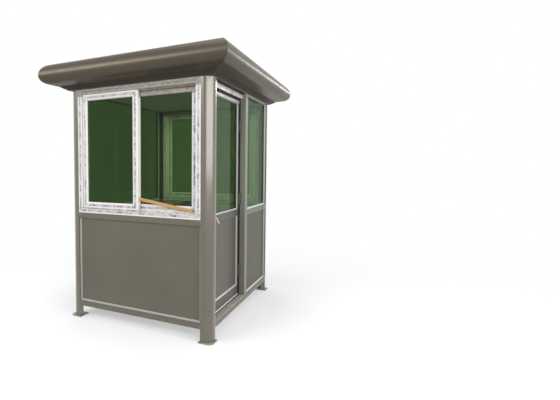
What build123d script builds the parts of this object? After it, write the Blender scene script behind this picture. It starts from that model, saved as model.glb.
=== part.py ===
from build123d import *
import os
from math import cos, radians, sin, tan

# Security guard booth: origin on the ground under the middle of the booth,
# +X towards the door side, -Y towards the front sliding window, +Z up, millimetres.

# Overall sizes
width = 1500.0
depth = 1800.0
leg_gap = 118.0
tube = 50.0
tube_wall = 2.5
tube_round = 2.0
sill_bottom = 996.0
window_head = 2228.0

# Corner posts
post_side = 100.0
post_radius = 80.0
post_wall = 3.0
base_plate_side = 128.0
base_plate_thickness = 8.0
base_plate_overhang = 14.0
base_plate_corner = 30.0

# Lower panels, linings and floor
panel_recess = 22.0
bead_width = 15.0
bead_depth = 12.0
bead_slope = 45.0
lining_thickness = 3.0
lining_joint = 1.0
trim_width = 25.0
trim_thickness = 2.0
floor_thickness = 4.0
threshold_round = 3.0
joist_count = 3

# Sliding windows
frame_depth = 88.0
frame_face = 45.0
frame_rail_height = 12.0
frame_rail_thickness = 3.0
sash_face = 58.0
sash_depth = 32.0
sash_gap = 8.0
sash_overlap = 60.0
sash_clearance = 2.0
frame_margin = 8.0
groove_depth = 13.0
groove_clearance = 0.8
glazing_bevel = 7.0
pane_thickness = 5.0

# Fixed glazing
fixed_pane_recess = 25.0
fixed_bead_face = 16.0
fixed_bead_depth = 12.0

# Door side layout, measured along Y
mullion_offset = 5.0
mullion_width = 75.0
mullion_depth = 50.0

# Door frame and leaf
door_head_height = 60.0
door_head_recess = 30.0
head_groove_height = 20.0
head_groove_depth = 12.0
jamb_width = 47.0
jamb_depth = 48.0
stop_width = 15.0
stop_root = 10.0
stop_gap = 5.0
stop_thickness = 7.0
leaf_recess = 66.0
leaf_thickness = 36.0
leaf_gap_top = 16.0
leaf_gap_bottom = 6.0
leaf_gap_free = 9.0
leaf_gap_hinge = 6.0
lock_stile = 85.0
hinge_stile = 26.0
leaf_top_rail = 30.0
leaf_mid_rail = 62.0
mid_rail_above_sill = 4.0
leaf_bottom_rail = 99.0
door_bead_face = 12.0
door_bead_depth = 10.0
leaf_glass_recess = 14.0

# Hinges, lock and lever
hinge_count = 3
hinge_height = 110.0
hinge_end_margin = 190.0
barrel_radius = 8.0
hinge_pin_radius = 4.0
hinge_running_gap = 0.05
hinge_plate_thickness = 2.0
hinge_plate_width = 15.0
barrel_stand_off = 2.3
knuckle_gap = 0.3
lock_plate_width = 50.0
lock_plate_height = 125.0
lock_plate_thickness = 9.0
lock_plate_crown = 3.0
lock_above_rail = 47.0
lock_backset = 32.0
lever_above_lock = 15.0
cylinder_below_lock = 22.0
cylinder_radius = 9.0
cylinder_proud = 2.0
keyway_width = 2.0
keyway_height = 9.0
keyway_depth = 6.0
lever_clearance = 0.3
neck_radius = 8.0
lever_stand_off = 42.0
lever_reach = 100.0
lever_droop = 70.0
lever_thickness = 11.0
lever_grip_height = 19.0

# Lever stations: share of the reach, share of the droop, slope of the arm in
# degrees, and the share of the grip height and of the thickness there
lever_sections = (
    (-0.06, -0.02, 12.0, 0.95, 1.00),
    (0.22, 0.08, 28.0, 0.62, 0.85),
    (0.55, 0.42, 42.0, 0.85, 0.80),
    (0.82, 0.80, 36.0, 1.00, 0.75),
    (1.00, 1.00, 18.0, 0.60, 0.60),
)

# Roof
nose_rise = 87.0
nose_top_radius = 112.0
nose_top_centre = 95.0
nose_low_radius = 82.0
drip_slope = 12.0
fascia_lip = 60.0
fascia_thickness = 3.0
cornice_step = 15.0
cornice_drop = 8.0
cornice_steps = 4
roof_sheet = 3.0
ceiling_thickness = 12.0
bearer_count = 3

# Desk, drawer and keyboard tray
desk_depth = 420.0
desk_thickness = 28.0
desk_below_sill = 6.0
desk_sheet = 2.0
desk_return = 15.0
bracket_leg = 180.0
bracket_thickness = 4.0
bracket_width = 30.0
bracket_reach = 300.0
bracket_margin = 30.0
drawer_start = 80.0
drawer_width = 380.0
drawer_height = 120.0
drawer_depth = 360.0
drawer_clearance = 5.0
drawer_sheet = 2.0
runner_height = 6.0
runner_width = 10.0
runner_gap = 0.3
front_set_back = 5.0
drawer_pull_depth = 12.0
tray_from_wall = 227.0
tray_width = 600.0
tray_height = 90.0
tray_depth = 340.0
tray_lip = 40.0
tray_side = 12.0
hanger_width = 24.0

# Small fittings
socket_side = 86.0
socket_thickness = 12.0
socket_height = 560.0
socket_along = 90.0
socket_corner = 5.0
socket_slot_pitch = 13.0
socket_slot_drop = 16.0
socket_slot_width = 2.4
socket_slot_height = 10.0
socket_slot_depth = 6.0
box_width = 60.0
box_height = 110.0
box_thickness = 28.0
box_below_sill = 40.0
box_from_desk = 60.0
box_corner = 6.0
batten_rise = 85.0
batten_clearance = 0.3
batten_thickness = 17.0
batten_width = 24.0
batten_short = 36.0

# Worked-out planes and heights
beam_top = leg_gap + tube
sill_top = sill_bottom + tube
head_top = window_head + tube
wall_x = width / 2
wall_y = depth / 2
inner_x = wall_x - tube
inner_y = wall_y - tube
bay_x = wall_x - post_side
bay_y = wall_y - post_side
lining_x = inner_x - lining_thickness
lining_y = inner_y - lining_thickness
floor_top = beam_top + floor_thickness
mullion_start = -mullion_offset
mullion_end = mullion_start + mullion_width
jamb_back = inner_x - jamb_depth
mid_rail_low = sill_bottom + mid_rail_above_sill
lock_height = mid_rail_low + lock_above_rail
nose_centre_height = head_top + nose_rise
tray_start = -lining_y + tray_from_wall
panel_bottom = beam_top
panel_top = sill_bottom


def write(part, label):
    """Label a finished piece and write it as a STEP file."""
    part.label = label
    export_step(part, "parts/" + label + ".step")


def middle(low, high):
    """Halfway between two coordinates."""
    return (low + high) / 2


def block(x, y, z):
    """Add a plain block between three pairs of coordinates."""
    with BuildSketch(Plane.XY.offset(z[0])) as profile:
        with Locations((middle(*x), middle(*y))):
            Rectangle(x[1] - x[0], y[1] - y[0])
    extrude(profile.sketch, amount=z[1] - z[0])


def tube_x(x, y, z, wall=tube_wall):
    """Add a hollow tube that runs along X."""
    with BuildSketch(Plane.YZ.offset(x[0])) as profile:
        with Locations((middle(*y), middle(*z))):
            Rectangle(y[1] - y[0], z[1] - z[0])
            Rectangle(y[1] - y[0] - 2 * wall, z[1] - z[0] - 2 * wall, mode=Mode.SUBTRACT)
    extrude(profile.sketch, amount=x[1] - x[0])


def tube_y(x, y, z, wall=tube_wall):
    """Add a hollow tube that runs along Y."""
    with BuildSketch(Plane.XZ.offset(-y[1])) as profile:
        with Locations((middle(*x), middle(*z))):
            Rectangle(x[1] - x[0], z[1] - z[0])
            Rectangle(x[1] - x[0] - 2 * wall, z[1] - z[0] - 2 * wall, mode=Mode.SUBTRACT)
    extrude(profile.sketch, amount=y[1] - y[0])


def tube_z(x, y, z, wall=tube_wall):
    """Add a hollow tube that stands upright."""
    with BuildSketch(Plane.XY.offset(z[0])) as profile:
        with Locations((middle(*x), middle(*y))):
            Rectangle(x[1] - x[0], y[1] - y[0])
            Rectangle(x[1] - x[0] - 2 * wall, y[1] - y[0] - 2 * wall, mode=Mode.SUBTRACT)
    extrude(profile.sketch, amount=z[1] - z[0])


def ring_facing_y(x, y, z, face):
    """Add a picture frame with members of one face width, seen along Y."""
    with BuildSketch(Plane.XZ.offset(-y[1])) as profile:
        with Locations((middle(*x), middle(*z))):
            Rectangle(x[1] - x[0], z[1] - z[0])
            Rectangle(x[1] - x[0] - 2 * face, z[1] - z[0] - 2 * face, mode=Mode.SUBTRACT)
    extrude(profile.sketch, amount=y[1] - y[0])


def bead_ring(section, along, height, depth, face):
    """Add a ring of beads that slope to the opening, on a plane that faces away from the pane."""
    with BuildSketch(section) as outline:
        Rectangle(along, height)
    extrude(outline.sketch, amount=depth)
    with BuildSketch(section) as opening:
        Rectangle(along - 2 * face, height - 2 * face)
    extrude(opening.sketch, amount=depth, taper=-bead_slope, mode=Mode.SUBTRACT)


def facing_y(x, y, z, way):
    """Upright plane at y that faces along Y, centred on a span of x and of z."""
    return Plane(origin=(middle(*x), y, middle(*z)), x_dir=(1, 0, 0), z_dir=(0, way, 0))


def facing_x(x, y, z, way):
    """Upright plane at x that faces along X, centred on a span of y and of z."""
    return Plane(origin=(x, middle(*y), middle(*z)), x_dir=(0, 1, 0), z_dir=(way, 0, 0))


os.makedirs("parts", exist_ok=True)

# Corner posts: hollow pressed columns with a quarter-round outer face
corners = ((1, -1), (-1, -1), (-1, 1), (1, 1))
door_corner = (1, -1)
arc_x = wall_x - post_radius
arc_y = wall_y - post_radius
arc_middle = post_radius * cos(radians(45))
with BuildPart() as corner_posts:
    for sx, sy in corners:
        with BuildSketch(Plane.XY.offset(base_plate_thickness)):
            with BuildLine():
                Line((sx * bay_x, sy * wall_y), (sx * arc_x, sy * wall_y))
                ThreePointArc(
                    (sx * arc_x, sy * wall_y),
                    (sx * (arc_x + arc_middle), sy * (arc_y + arc_middle)),
                    (sx * wall_x, sy * arc_y),
                )
                Polyline(
                    (sx * wall_x, sy * arc_y),
                    (sx * wall_x, sy * bay_y),
                    (sx * inner_x, sy * bay_y),
                    (sx * inner_x, sy * inner_y),
                    (sx * bay_x, sy * inner_y),
                    (sx * bay_x, sy * wall_y),
                )
            make_face()
            offset(amount=-post_wall, kind=Kind.INTERSECTION, mode=Mode.SUBTRACT)
        extrude(amount=head_top - base_plate_thickness)
write(corner_posts.part, "corner_posts")

# Base plates with a clipped outer corner
plate_out_x = wall_x + base_plate_overhang
plate_out_y = wall_y + base_plate_overhang
plate_in_x = plate_out_x - base_plate_side
plate_in_y = plate_out_y - base_plate_side
with BuildPart() as base_plates:
    for sx, sy in corners:
        with BuildSketch():
            with BuildLine():
                Polyline(
                    (sx * plate_in_x, sy * plate_in_y),
                    (sx * plate_out_x, sy * plate_in_y),
                    (sx * plate_out_x, sy * (plate_out_y - base_plate_corner)),
                    (sx * (plate_out_x - base_plate_corner), sy * plate_out_y),
                    (sx * plate_in_x, sy * plate_out_y),
                    close=True,
                )
            make_face()
        extrude(amount=base_plate_thickness)
write(base_plates.part, "base_plates")

# Bottom beams between the posts
beam_z = (leg_gap, beam_top)
with BuildPart() as bottom_beams:
    tube_x((-bay_x, bay_x), (-wall_y, -inner_y), beam_z)
    tube_x((-bay_x, bay_x), (inner_y, wall_y), beam_z)
    tube_y((-wall_x, -inner_x), (-bay_y, bay_y), beam_z)
    tube_y((inner_x, wall_x), (-bay_y, bay_y), beam_z)
write(bottom_beams.part, "bottom_beams")

# Floor joists and the floor plate on them
joist_pitch = 2 * inner_y / (joist_count + 1)
with BuildPart() as floor_joists:
    for index in range(joist_count):
        joist_y = -inner_y + joist_pitch * (index + 1)
        tube_x((-inner_x, inner_x), (joist_y - tube / 2, joist_y + tube / 2), beam_z)
write(floor_joists.part, "floor_joists")

with BuildPart() as floor_plate:
    block((-inner_x, inner_x), (-inner_y, inner_y), (beam_top, floor_top))
write(floor_plate.part, "floor_plate")

with BuildPart() as threshold:
    block((inner_x, wall_x), (-bay_y, mullion_start), (beam_top, floor_top))
    nosing = threshold.edges().filter_by(Axis.Y).group_by(Axis.X)[-1].group_by(Axis.Z)[-1]
    fillet(nosing, radius=threshold_round)
write(threshold.part, "threshold")

# Sill rails under the windows and top beams over them
sill_z = (sill_bottom, sill_top)
with BuildPart() as sill_rails:
    tube_x((-bay_x, bay_x), (-wall_y, -inner_y), sill_z)
    tube_x((-bay_x, bay_x), (inner_y, wall_y), sill_z)
    tube_y((-wall_x, -inner_x), (-bay_y, bay_y), sill_z)
    tube_y((inner_x, wall_x), (mullion_end, bay_y), sill_z)
write(sill_rails.part, "sill_rails")

head_z = (window_head, head_top)
with BuildPart() as top_beams:
    tube_x((-bay_x, bay_x), (-wall_y, -inner_y), head_z)
    tube_x((-bay_x, bay_x), (inner_y, wall_y), head_z)
    tube_y((-wall_x, -inner_x), (-bay_y, bay_y), head_z)
    tube_y((inner_x, wall_x), (-bay_y, bay_y), head_z)
write(top_beams.part, "top_beams")

# Mullion beside the door
with BuildPart() as mullion:
    tube_z((wall_x - mullion_depth, wall_x), (mullion_start, mullion_end), (beam_top, window_head))
    soft_edges = mullion.edges().filter_by(Axis.Z).group_by(Axis.X)[-1]
    fillet(soft_edges, radius=tube_round)
write(mullion.part, "mullion")

# Lower wall panels, set back from the frame
panel_z = (panel_bottom, panel_top)
panel_x = wall_x - panel_recess
panel_y = wall_y - panel_recess
with BuildPart() as front_panel:
    block((-bay_x, bay_x), (-panel_y, -inner_y), panel_z)
write(front_panel.part, "front_panel")
with BuildPart() as back_panel:
    block((-bay_x, bay_x), (inner_y, panel_y), panel_z)
write(back_panel.part, "back_panel")
with BuildPart() as left_panel:
    block((-panel_x, -inner_x), (-bay_y, bay_y), panel_z)
write(left_panel.part, "left_panel")
with BuildPart() as side_panel:
    block((inner_x, panel_x), (mullion_end, bay_y), panel_z)
write(side_panel.part, "side_panel")

# Beads that hold the panels
panel_height = panel_top - panel_bottom
whole_bay_x = (-bay_x, bay_x)
whole_bay_y = (-bay_y, bay_y)
side_bay_y = (mullion_end, bay_y)
side_bay = bay_y - mullion_end
with BuildPart() as panel_beads:
    for way in (-1, 1):
        face_plane = facing_y(whole_bay_x, way * panel_y, panel_z, way)
        bead_ring(face_plane, 2 * bay_x, panel_height, bead_depth, bead_width)
    face_plane = facing_x(-panel_x, whole_bay_y, panel_z, -1)
    bead_ring(face_plane, 2 * bay_y, panel_height, bead_depth, bead_width)
    face_plane = facing_x(panel_x, side_bay_y, panel_z, 1)
    bead_ring(face_plane, side_bay, panel_height, bead_depth, bead_width)
write(panel_beads.part, "panel_beads")

# Inner wall linings from the floor to the sills
lining_z = (floor_top, sill_top)
with BuildPart() as wall_linings:
    block((-inner_x, inner_x), (-inner_y, -lining_y), lining_z)
    block((-inner_x, inner_x), (lining_y, inner_y), lining_z)
    block((-inner_x, -lining_x), (-lining_y + lining_joint, lining_y - lining_joint), lining_z)
    block((lining_x, inner_x), (mullion_end, lining_y - lining_joint), lining_z)
write(wall_linings.part, "wall_linings")

# Inner trims: upright angles in three corners and flat skirting strips between them
trim_x = lining_x - trim_width
trim_y = lining_y - trim_width
skirt_x = trim_x - lining_joint
skirt_y = trim_y - lining_joint
skirt_z = (floor_top, floor_top + trim_width)
with BuildPart() as inner_trims:
    for sx, sy in corners:
        if (sx, sy) == door_corner:
            continue
        with BuildSketch(Plane.XY.offset(floor_top)):
            with BuildLine():
                Polyline(
                    (sx * lining_x, sy * lining_y),
                    (sx * trim_x, sy * lining_y),
                    (sx * trim_x, sy * (lining_y - trim_thickness)),
                    (sx * (lining_x - trim_thickness), sy * (lining_y - trim_thickness)),
                    (sx * (lining_x - trim_thickness), sy * trim_y),
                    (sx * lining_x, sy * trim_y),
                    close=True,
                )
            make_face()
        extrude(amount=sill_bottom - floor_top)
    block((-skirt_x, jamb_back), (-lining_y, -lining_y + trim_thickness), skirt_z)
    block((-skirt_x, skirt_x), (lining_y - trim_thickness, lining_y), skirt_z)
    block((-lining_x, -lining_x + trim_thickness), (-skirt_y, skirt_y), skirt_z)
    block((lining_x - trim_thickness, lining_x), (mullion_end, skirt_y), skirt_z)
write(inner_trims.part, "inner_trims")

# Two-track sliding windows: a plastic frame with guide rails, and two sashes
# whose grooved edges ride on the rails. The front one is made where it stands
# and the back one is its mirror image, so both outer sashes are away from the door.
opening_x = bay_x - frame_face
opening_low = sill_top + frame_face
opening_high = window_head - frame_face
track_outer = -wall_y + frame_margin + sash_depth / 2
track_inner = track_outer + sash_depth + sash_gap
groove_width = frame_rail_thickness + 2 * groove_clearance
sash_low = opening_low + sash_clearance
sash_high = opening_high - sash_clearance
sash_edge = opening_x - sash_clearance
sash_meet = sash_overlap / 2


def sash(x, track):
    """Add a sash with a chamfered glazing edge and grooves for the guide rails."""
    front = track - sash_depth / 2
    back = track + sash_depth / 2
    ring_facing_y(x, (front, back), (sash_low, sash_high), sash_face)


def sash_grooves(x, track):
    """Cut the grooves along the bottom and top edges of a sash."""
    for z in (sash_low, sash_high):
        with BuildSketch(Plane.YZ.offset(x[0])) as groove:
            with Locations((track, z)):
                Rectangle(groove_width, 2 * groove_depth)
        extrude(groove.sketch, amount=x[1] - x[0], mode=Mode.SUBTRACT)


def glazing_slope(edges, track):
    """Pick the edges round the glass on the outdoor side of a sash."""
    outdoor = edges.filter_by_position(Axis.Y, track - sash_depth, track - sash_depth / 4)
    return outdoor.filter_by_position(Axis.Z, sash_low + sash_face / 2, sash_high - sash_face / 2)


outer_x = (-sash_edge, sash_meet)
inner_span = (-sash_meet, sash_edge)
pane_z = (sash_low + sash_face, sash_high - sash_face)

with BuildPart() as front_frame:
    ring_facing_y((-bay_x, bay_x), (-wall_y, -wall_y + frame_depth), (sill_top, window_head), frame_face)
    for track in (track_outer, track_inner):
        rail_y = (track - frame_rail_thickness / 2, track + frame_rail_thickness / 2)
        block((-opening_x, opening_x), rail_y, (opening_low, opening_low + frame_rail_height))
        block((-opening_x, opening_x), rail_y, (opening_high - frame_rail_height, opening_high))

with BuildPart() as front_outer:
    sash(outer_x, track_outer)
    sash_grooves(outer_x, track_outer)
    chamfer(glazing_slope(front_outer.edges(), track_outer), length=glazing_bevel)

with BuildPart() as front_inner:
    sash(inner_span, track_inner)
    sash_grooves(inner_span, track_inner)
    chamfer(glazing_slope(front_inner.edges(), track_inner), length=glazing_bevel)


def pane_depth(track):
    """Front and back of a pane held in the middle of a sash."""
    return (track - pane_thickness / 2, track + pane_thickness / 2)


with BuildPart() as front_glass:
    block((outer_x[0] + sash_face, outer_x[1] - sash_face), pane_depth(track_outer), pane_z)
    block((inner_span[0] + sash_face, inner_span[1] - sash_face), pane_depth(track_inner), pane_z)

for source, label in (
    (front_frame, "window_frames"),
    (front_outer, "outer_sashes"),
    (front_inner, "inner_sashes"),
    (front_glass, "window_glass"),
):
    with BuildPart() as pair:
        add(source.part)
        mirror(source.part, about=Plane.XZ)
    write(pair.part, label)

# Fixed glass opposite the door and beside it, each between two rings of beads
fixed_z = (sill_top, window_head)
fixed_out = wall_x - fixed_pane_recess
fixed_in = fixed_out - pane_thickness
with BuildPart() as fixed_glass:
    block((-fixed_out, -fixed_in), (-bay_y, bay_y), fixed_z)
    block((fixed_in, fixed_out), (mullion_end, bay_y), fixed_z)
write(fixed_glass.part, "fixed_glass")
fixed_height = window_head - sill_top
with BuildPart() as fixed_beads:
    for pane_face, way in ((fixed_out, 1), (fixed_in, -1)):
        face_plane = facing_x(-pane_face, whole_bay_y, fixed_z, -way)
        bead_ring(face_plane, 2 * bay_y, fixed_height, fixed_bead_depth, fixed_bead_face)
        face_plane = facing_x(pane_face, side_bay_y, fixed_z, way)
        bead_ring(face_plane, side_bay, fixed_height, fixed_bead_depth, fixed_bead_face)
write(fixed_beads.part, "fixed_glass_beads")

# Wooden batten wedged across the empty outer track
batten_left = sash_meet + batten_clearance
batten_right = opening_x - batten_short
batten_foot = opening_low + frame_rail_height + batten_clearance
batten_y = (track_outer - batten_thickness / 2, track_outer + batten_thickness / 2)
with BuildPart() as batten:
    with BuildSketch(Plane.XZ.offset(-batten_y[1])):
        with BuildLine():
            Polyline(
                (batten_left, batten_foot + batten_rise),
                (batten_right, batten_foot),
                (batten_right, batten_foot + batten_width),
                (batten_left, batten_foot + batten_rise + batten_width),
                close=True,
            )
        make_face()
    extrude(amount=batten_thickness)
write(batten.part, "transit_batten")

# Door frame: rebated jambs behind the post and the mullion, and a head over them
opening_start = -bay_y
opening_end = mullion_start
leaf_face = wall_x - leaf_recess
leaf_back = leaf_face - leaf_thickness
stop_face = leaf_back - stop_gap
stop_back = stop_face - stop_thickness
door_head_low = window_head - door_head_height
lock_jamb_y = (-lining_y, opening_start)
hinge_jamb_y = (opening_end, opening_end + jamb_width)
with BuildPart() as door_jambs:
    for root_y, edge_y, way in (
        (lock_jamb_y[0], lock_jamb_y[1], 1),
        (hinge_jamb_y[1], hinge_jamb_y[0], -1),
    ):
        with BuildSketch(Plane.XY.offset(floor_top)):
            with BuildLine():
                Polyline(
                    (inner_x, root_y),
                    (jamb_back, root_y),
                    (jamb_back, edge_y - way * stop_root),
                    (stop_back, edge_y - way * stop_root),
                    (stop_back, edge_y + way * stop_width),
                    (stop_face, edge_y + way * stop_width),
                    (stop_face, edge_y),
                    (inner_x, edge_y),
                    close=True,
                )
            make_face()
        extrude(amount=door_head_low - stop_width - floor_top)
        block((jamb_back, inner_x), sorted((root_y, edge_y)), (door_head_low - stop_width, window_head))
write(door_jambs.part, "door_jambs")

door_head_face = wall_x - door_head_recess
with BuildPart() as door_head:
    with BuildSketch(Plane.XZ.offset(-opening_end)):
        with BuildLine():
            Polyline(
                (door_head_face - head_groove_depth, window_head),
                (door_head_face - head_groove_depth, window_head - head_groove_height),
                (door_head_face, window_head - head_groove_height),
                (door_head_face, door_head_low),
                (stop_face, door_head_low),
                (stop_face, door_head_low - stop_width),
                (stop_back, door_head_low - stop_width),
                (stop_back, door_head_low + stop_root),
                (jamb_back, door_head_low + stop_root),
                (jamb_back, window_head),
                close=True,
            )
        make_face()
    extrude(amount=opening_end - opening_start)
write(door_head.part, "door_head")

# Door leaf: stiles and rails round a pane above and a panel below
leaf_y = (opening_start + leaf_gap_free, opening_end - leaf_gap_hinge)
leaf_z = (floor_top + leaf_gap_bottom, door_head_low - leaf_gap_top)
light_y = (leaf_y[0] + lock_stile, leaf_y[1] - hinge_stile)
light_z = (mid_rail_low + leaf_mid_rail, leaf_z[1] - leaf_top_rail)
infill_z = (leaf_z[0] + leaf_bottom_rail, mid_rail_low)
lock_y = leaf_y[0] + lock_backset
lever_z = lock_height + lever_above_lock
cylinder_z = lock_height - cylinder_below_lock
lever_hole = neck_radius + lever_clearance
with BuildPart() as leaf_frame:
    with BuildSketch(Plane.YZ.offset(leaf_back)):
        with Locations((middle(*leaf_y), middle(*leaf_z))):
            Rectangle(leaf_y[1] - leaf_y[0], leaf_z[1] - leaf_z[0])
        with Locations((middle(*light_y), middle(*light_z))):
            Rectangle(light_y[1] - light_y[0], light_z[1] - light_z[0], mode=Mode.SUBTRACT)
        with Locations((middle(*light_y), middle(*infill_z))):
            Rectangle(light_y[1] - light_y[0], infill_z[1] - infill_z[0], mode=Mode.SUBTRACT)
        with Locations((lock_y, lever_z)):
            Circle(lever_hole, mode=Mode.SUBTRACT)
        with Locations((lock_y, cylinder_z)):
            Circle(cylinder_radius, mode=Mode.SUBTRACT)
    extrude(amount=leaf_thickness)
write(leaf_frame.part, "door_leaf_frame")

leaf_pane_x = (leaf_face - leaf_glass_recess - pane_thickness, leaf_face - leaf_glass_recess)
with BuildPart() as door_glass:
    block(leaf_pane_x, light_y, light_z)
write(door_glass.part, "door_glass")
with BuildPart() as door_panel:
    block((leaf_back + door_bead_depth, leaf_face - leaf_glass_recess), light_y, infill_z)
write(door_panel.part, "door_panel")
light_along = light_y[1] - light_y[0]
with BuildPart() as door_beads:
    for pane_face, z, way in (
        (leaf_pane_x[1], light_z, 1),
        (leaf_pane_x[1], infill_z, 1),
        (leaf_pane_x[0], light_z, -1),
    ):
        face_plane = facing_x(pane_face, light_y, z, way)
        bead_ring(face_plane, light_along, z[1] - z[0], door_bead_depth, door_bead_face)
write(door_beads.part, "door_beads")

# Butt hinges: the pin and two end knuckles on the frame, one knuckle on the leaf
hinge_x = leaf_face + barrel_stand_off + barrel_radius
hinge_y = opening_end - knuckle_gap - barrel_radius
hinge_low = leaf_z[0] + hinge_end_margin
hinge_pitch = (leaf_z[1] - leaf_z[0] - 2 * hinge_end_margin - hinge_height) / (hinge_count - 1)
knuckle = hinge_height / 3
hinge_bottoms = [hinge_low + index * hinge_pitch for index in range(hinge_count)]
with BuildPart() as hinge_frames:
    for bottom in hinge_bottoms:
        for low, high in ((0.0, knuckle), (2 * knuckle, hinge_height)):
            with BuildSketch(Plane.XY.offset(bottom + low)):
                with Locations((hinge_x, hinge_y)):
                    Circle(barrel_radius)
                with Locations((hinge_x + hinge_plate_width / 2, opening_end - hinge_plate_thickness / 2)):
                    Rectangle(hinge_plate_width, hinge_plate_thickness)
            extrude(amount=high - low)
        with BuildSketch(Plane.XY.offset(bottom)):
            with Locations((hinge_x, hinge_y)):
                Circle(hinge_pin_radius)
        extrude(amount=hinge_height)
        block(
            (hinge_x + barrel_radius + hinge_plate_thickness, hinge_x + hinge_plate_width),
            (opening_end - hinge_plate_thickness, opening_end),
            (bottom, bottom + hinge_height),
        )
write(hinge_frames.part, "hinge_frame_halves")

with BuildPart() as hinge_leaves:
    for bottom in hinge_bottoms:
        with BuildSketch(Plane.XY.offset(bottom + knuckle + knuckle_gap)):
            with Locations((hinge_x, hinge_y)):
                Circle(barrel_radius)
            with Locations((middle(leaf_face, hinge_x), hinge_y - barrel_radius)):
                Rectangle(hinge_x - leaf_face, hinge_plate_thickness, align=(Align.CENTER, Align.MIN))
            with Locations((hinge_x, hinge_y)):
                Circle(hinge_pin_radius + hinge_running_gap, mode=Mode.SUBTRACT)
        extrude(amount=knuckle - 2 * knuckle_gap)
        block(
            (leaf_face, leaf_face + hinge_plate_thickness),
            (hinge_y - barrel_radius - hinge_plate_width, hinge_y - barrel_radius + hinge_plate_thickness),
            (bottom, bottom + hinge_height),
        )
write(hinge_leaves.part, "hinge_leaf_halves")

# Crowned lock plates on both faces, with the key cylinder through the leaf
plate_edge = lock_plate_thickness - lock_plate_crown
with BuildPart() as lock_plates:
    for face_x, way in ((leaf_face, 1), (leaf_back, -1)):
        with BuildSketch(Plane.XY.offset(lock_height - lock_plate_height / 2)):
            with BuildLine():
                Polyline(
                    (face_x + way * plate_edge, lock_y - lock_plate_width / 2),
                    (face_x, lock_y - lock_plate_width / 2),
                    (face_x, lock_y + lock_plate_width / 2),
                    (face_x + way * plate_edge, lock_y + lock_plate_width / 2),
                )
                ThreePointArc(
                    (face_x + way * plate_edge, lock_y + lock_plate_width / 2),
                    (face_x + way * lock_plate_thickness, lock_y),
                    (face_x + way * plate_edge, lock_y - lock_plate_width / 2),
                )
            make_face()
        extrude(amount=lock_plate_height)
    for z, radius in ((lever_z, lever_hole), (cylinder_z, cylinder_radius)):
        with BuildSketch(Plane.YZ.offset(leaf_back - 2 * lock_plate_thickness)):
            with Locations((lock_y, z)):
                Circle(radius)
        extrude(amount=leaf_thickness + 4 * lock_plate_thickness, mode=Mode.SUBTRACT)
write(lock_plates.part, "lock_plates")

cylinder_reach = lock_plate_thickness + cylinder_proud
with BuildPart() as key_cylinder:
    with BuildSketch(Plane.YZ.offset(leaf_back - cylinder_reach)):
        with Locations((lock_y, cylinder_z)):
            Circle(cylinder_radius)
    extrude(amount=leaf_thickness + 2 * cylinder_reach)
    with BuildSketch(Plane.YZ.offset(leaf_face + cylinder_reach)):
        with Locations((lock_y, cylinder_z)):
            Rectangle(keyway_width, keyway_height)
    extrude(amount=-keyway_depth, mode=Mode.SUBTRACT)
    fillet(key_cylinder.edges().filter_by(GeomType.CIRCLE).group_by(Axis.X)[-1], radius=cylinder_proud / 2)
write(key_cylinder.part, "key_cylinder")

# Lever handle: one spindle with a drooping S-shaped lever at each end
with BuildPart() as lever:
    with BuildSketch(Plane.YZ.offset(leaf_back - lever_stand_off)):
        with Locations((lock_y, lever_z)):
            Circle(neck_radius)
    extrude(amount=leaf_thickness + 2 * lever_stand_off)
    for arm_x, way in ((leaf_face + lever_stand_off, 1), (leaf_back - lever_stand_off, -1)):
        for station, (run, drop, turn, height, thick) in enumerate(lever_sections):
            arm_plane = Plane(
                origin=(
                    arm_x - way * lever_thickness * (1 - thick) / 2,
                    lock_y + run * lever_reach,
                    lever_z - drop * lever_droop,
                ),
                x_dir=(1, 0, 0),
                z_dir=(0, cos(radians(turn)), -sin(radians(turn))),
            )
            with BuildSketch(arm_plane):
                Ellipse(thick * lever_thickness / 2, height * lever_grip_height / 2)
        loft()
write(lever.part, "door_lever")

# Roof outline: distance out from the wall against height, one nose for all four sides
nose_reach = nose_top_centre + nose_top_radius
nose_low_centre = nose_reach - nose_low_radius
roof_top = nose_centre_height + nose_top_radius
drip_reach = nose_low_centre + nose_low_radius * sin(radians(drip_slope))
drip_height = nose_centre_height - nose_low_radius * cos(radians(drip_slope))
lip_height = drip_height - (drip_reach - fascia_lip) * tan(radians(drip_slope))
half_turn = radians(45)
low_turn = radians((90 - drip_slope) / 2)


def fascia_side(section, length, ends):
    """Add one mitred side of the bullnose fascia on a plane whose x runs outwards."""
    with BuildSketch(section) as profile:
        with BuildLine():
            Polyline(
                (fascia_lip, lip_height),
                (fascia_lip, roof_top),
                (nose_top_centre, roof_top),
            )
            ThreePointArc(
                (nose_top_centre, roof_top),
                (
                    nose_top_centre + nose_top_radius * cos(half_turn),
                    nose_centre_height + nose_top_radius * sin(half_turn),
                ),
                (nose_reach, nose_centre_height),
            )
            ThreePointArc(
                (nose_reach, nose_centre_height),
                (
                    nose_low_centre + nose_low_radius * cos(low_turn),
                    nose_centre_height - nose_low_radius * sin(low_turn),
                ),
                (drip_reach, drip_height),
            )
            Line((drip_reach, drip_height), (fascia_lip, lip_height))
        make_face()
        offset(amount=-fascia_thickness, kind=Kind.INTERSECTION, mode=Mode.SUBTRACT)
    extrude(profile.sketch, amount=length + nose_reach, both=True)
    for end in ends:
        split(bisect_by=end, keep=Keep.TOP)


def mitre(sx, sy, keep_x, keep_y):
    """Upright plane through a corner of the booth, facing the side that stays."""
    return Plane(origin=(sx * wall_x, sy * wall_y, 0), z_dir=(keep_x, keep_y, 0))


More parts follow.
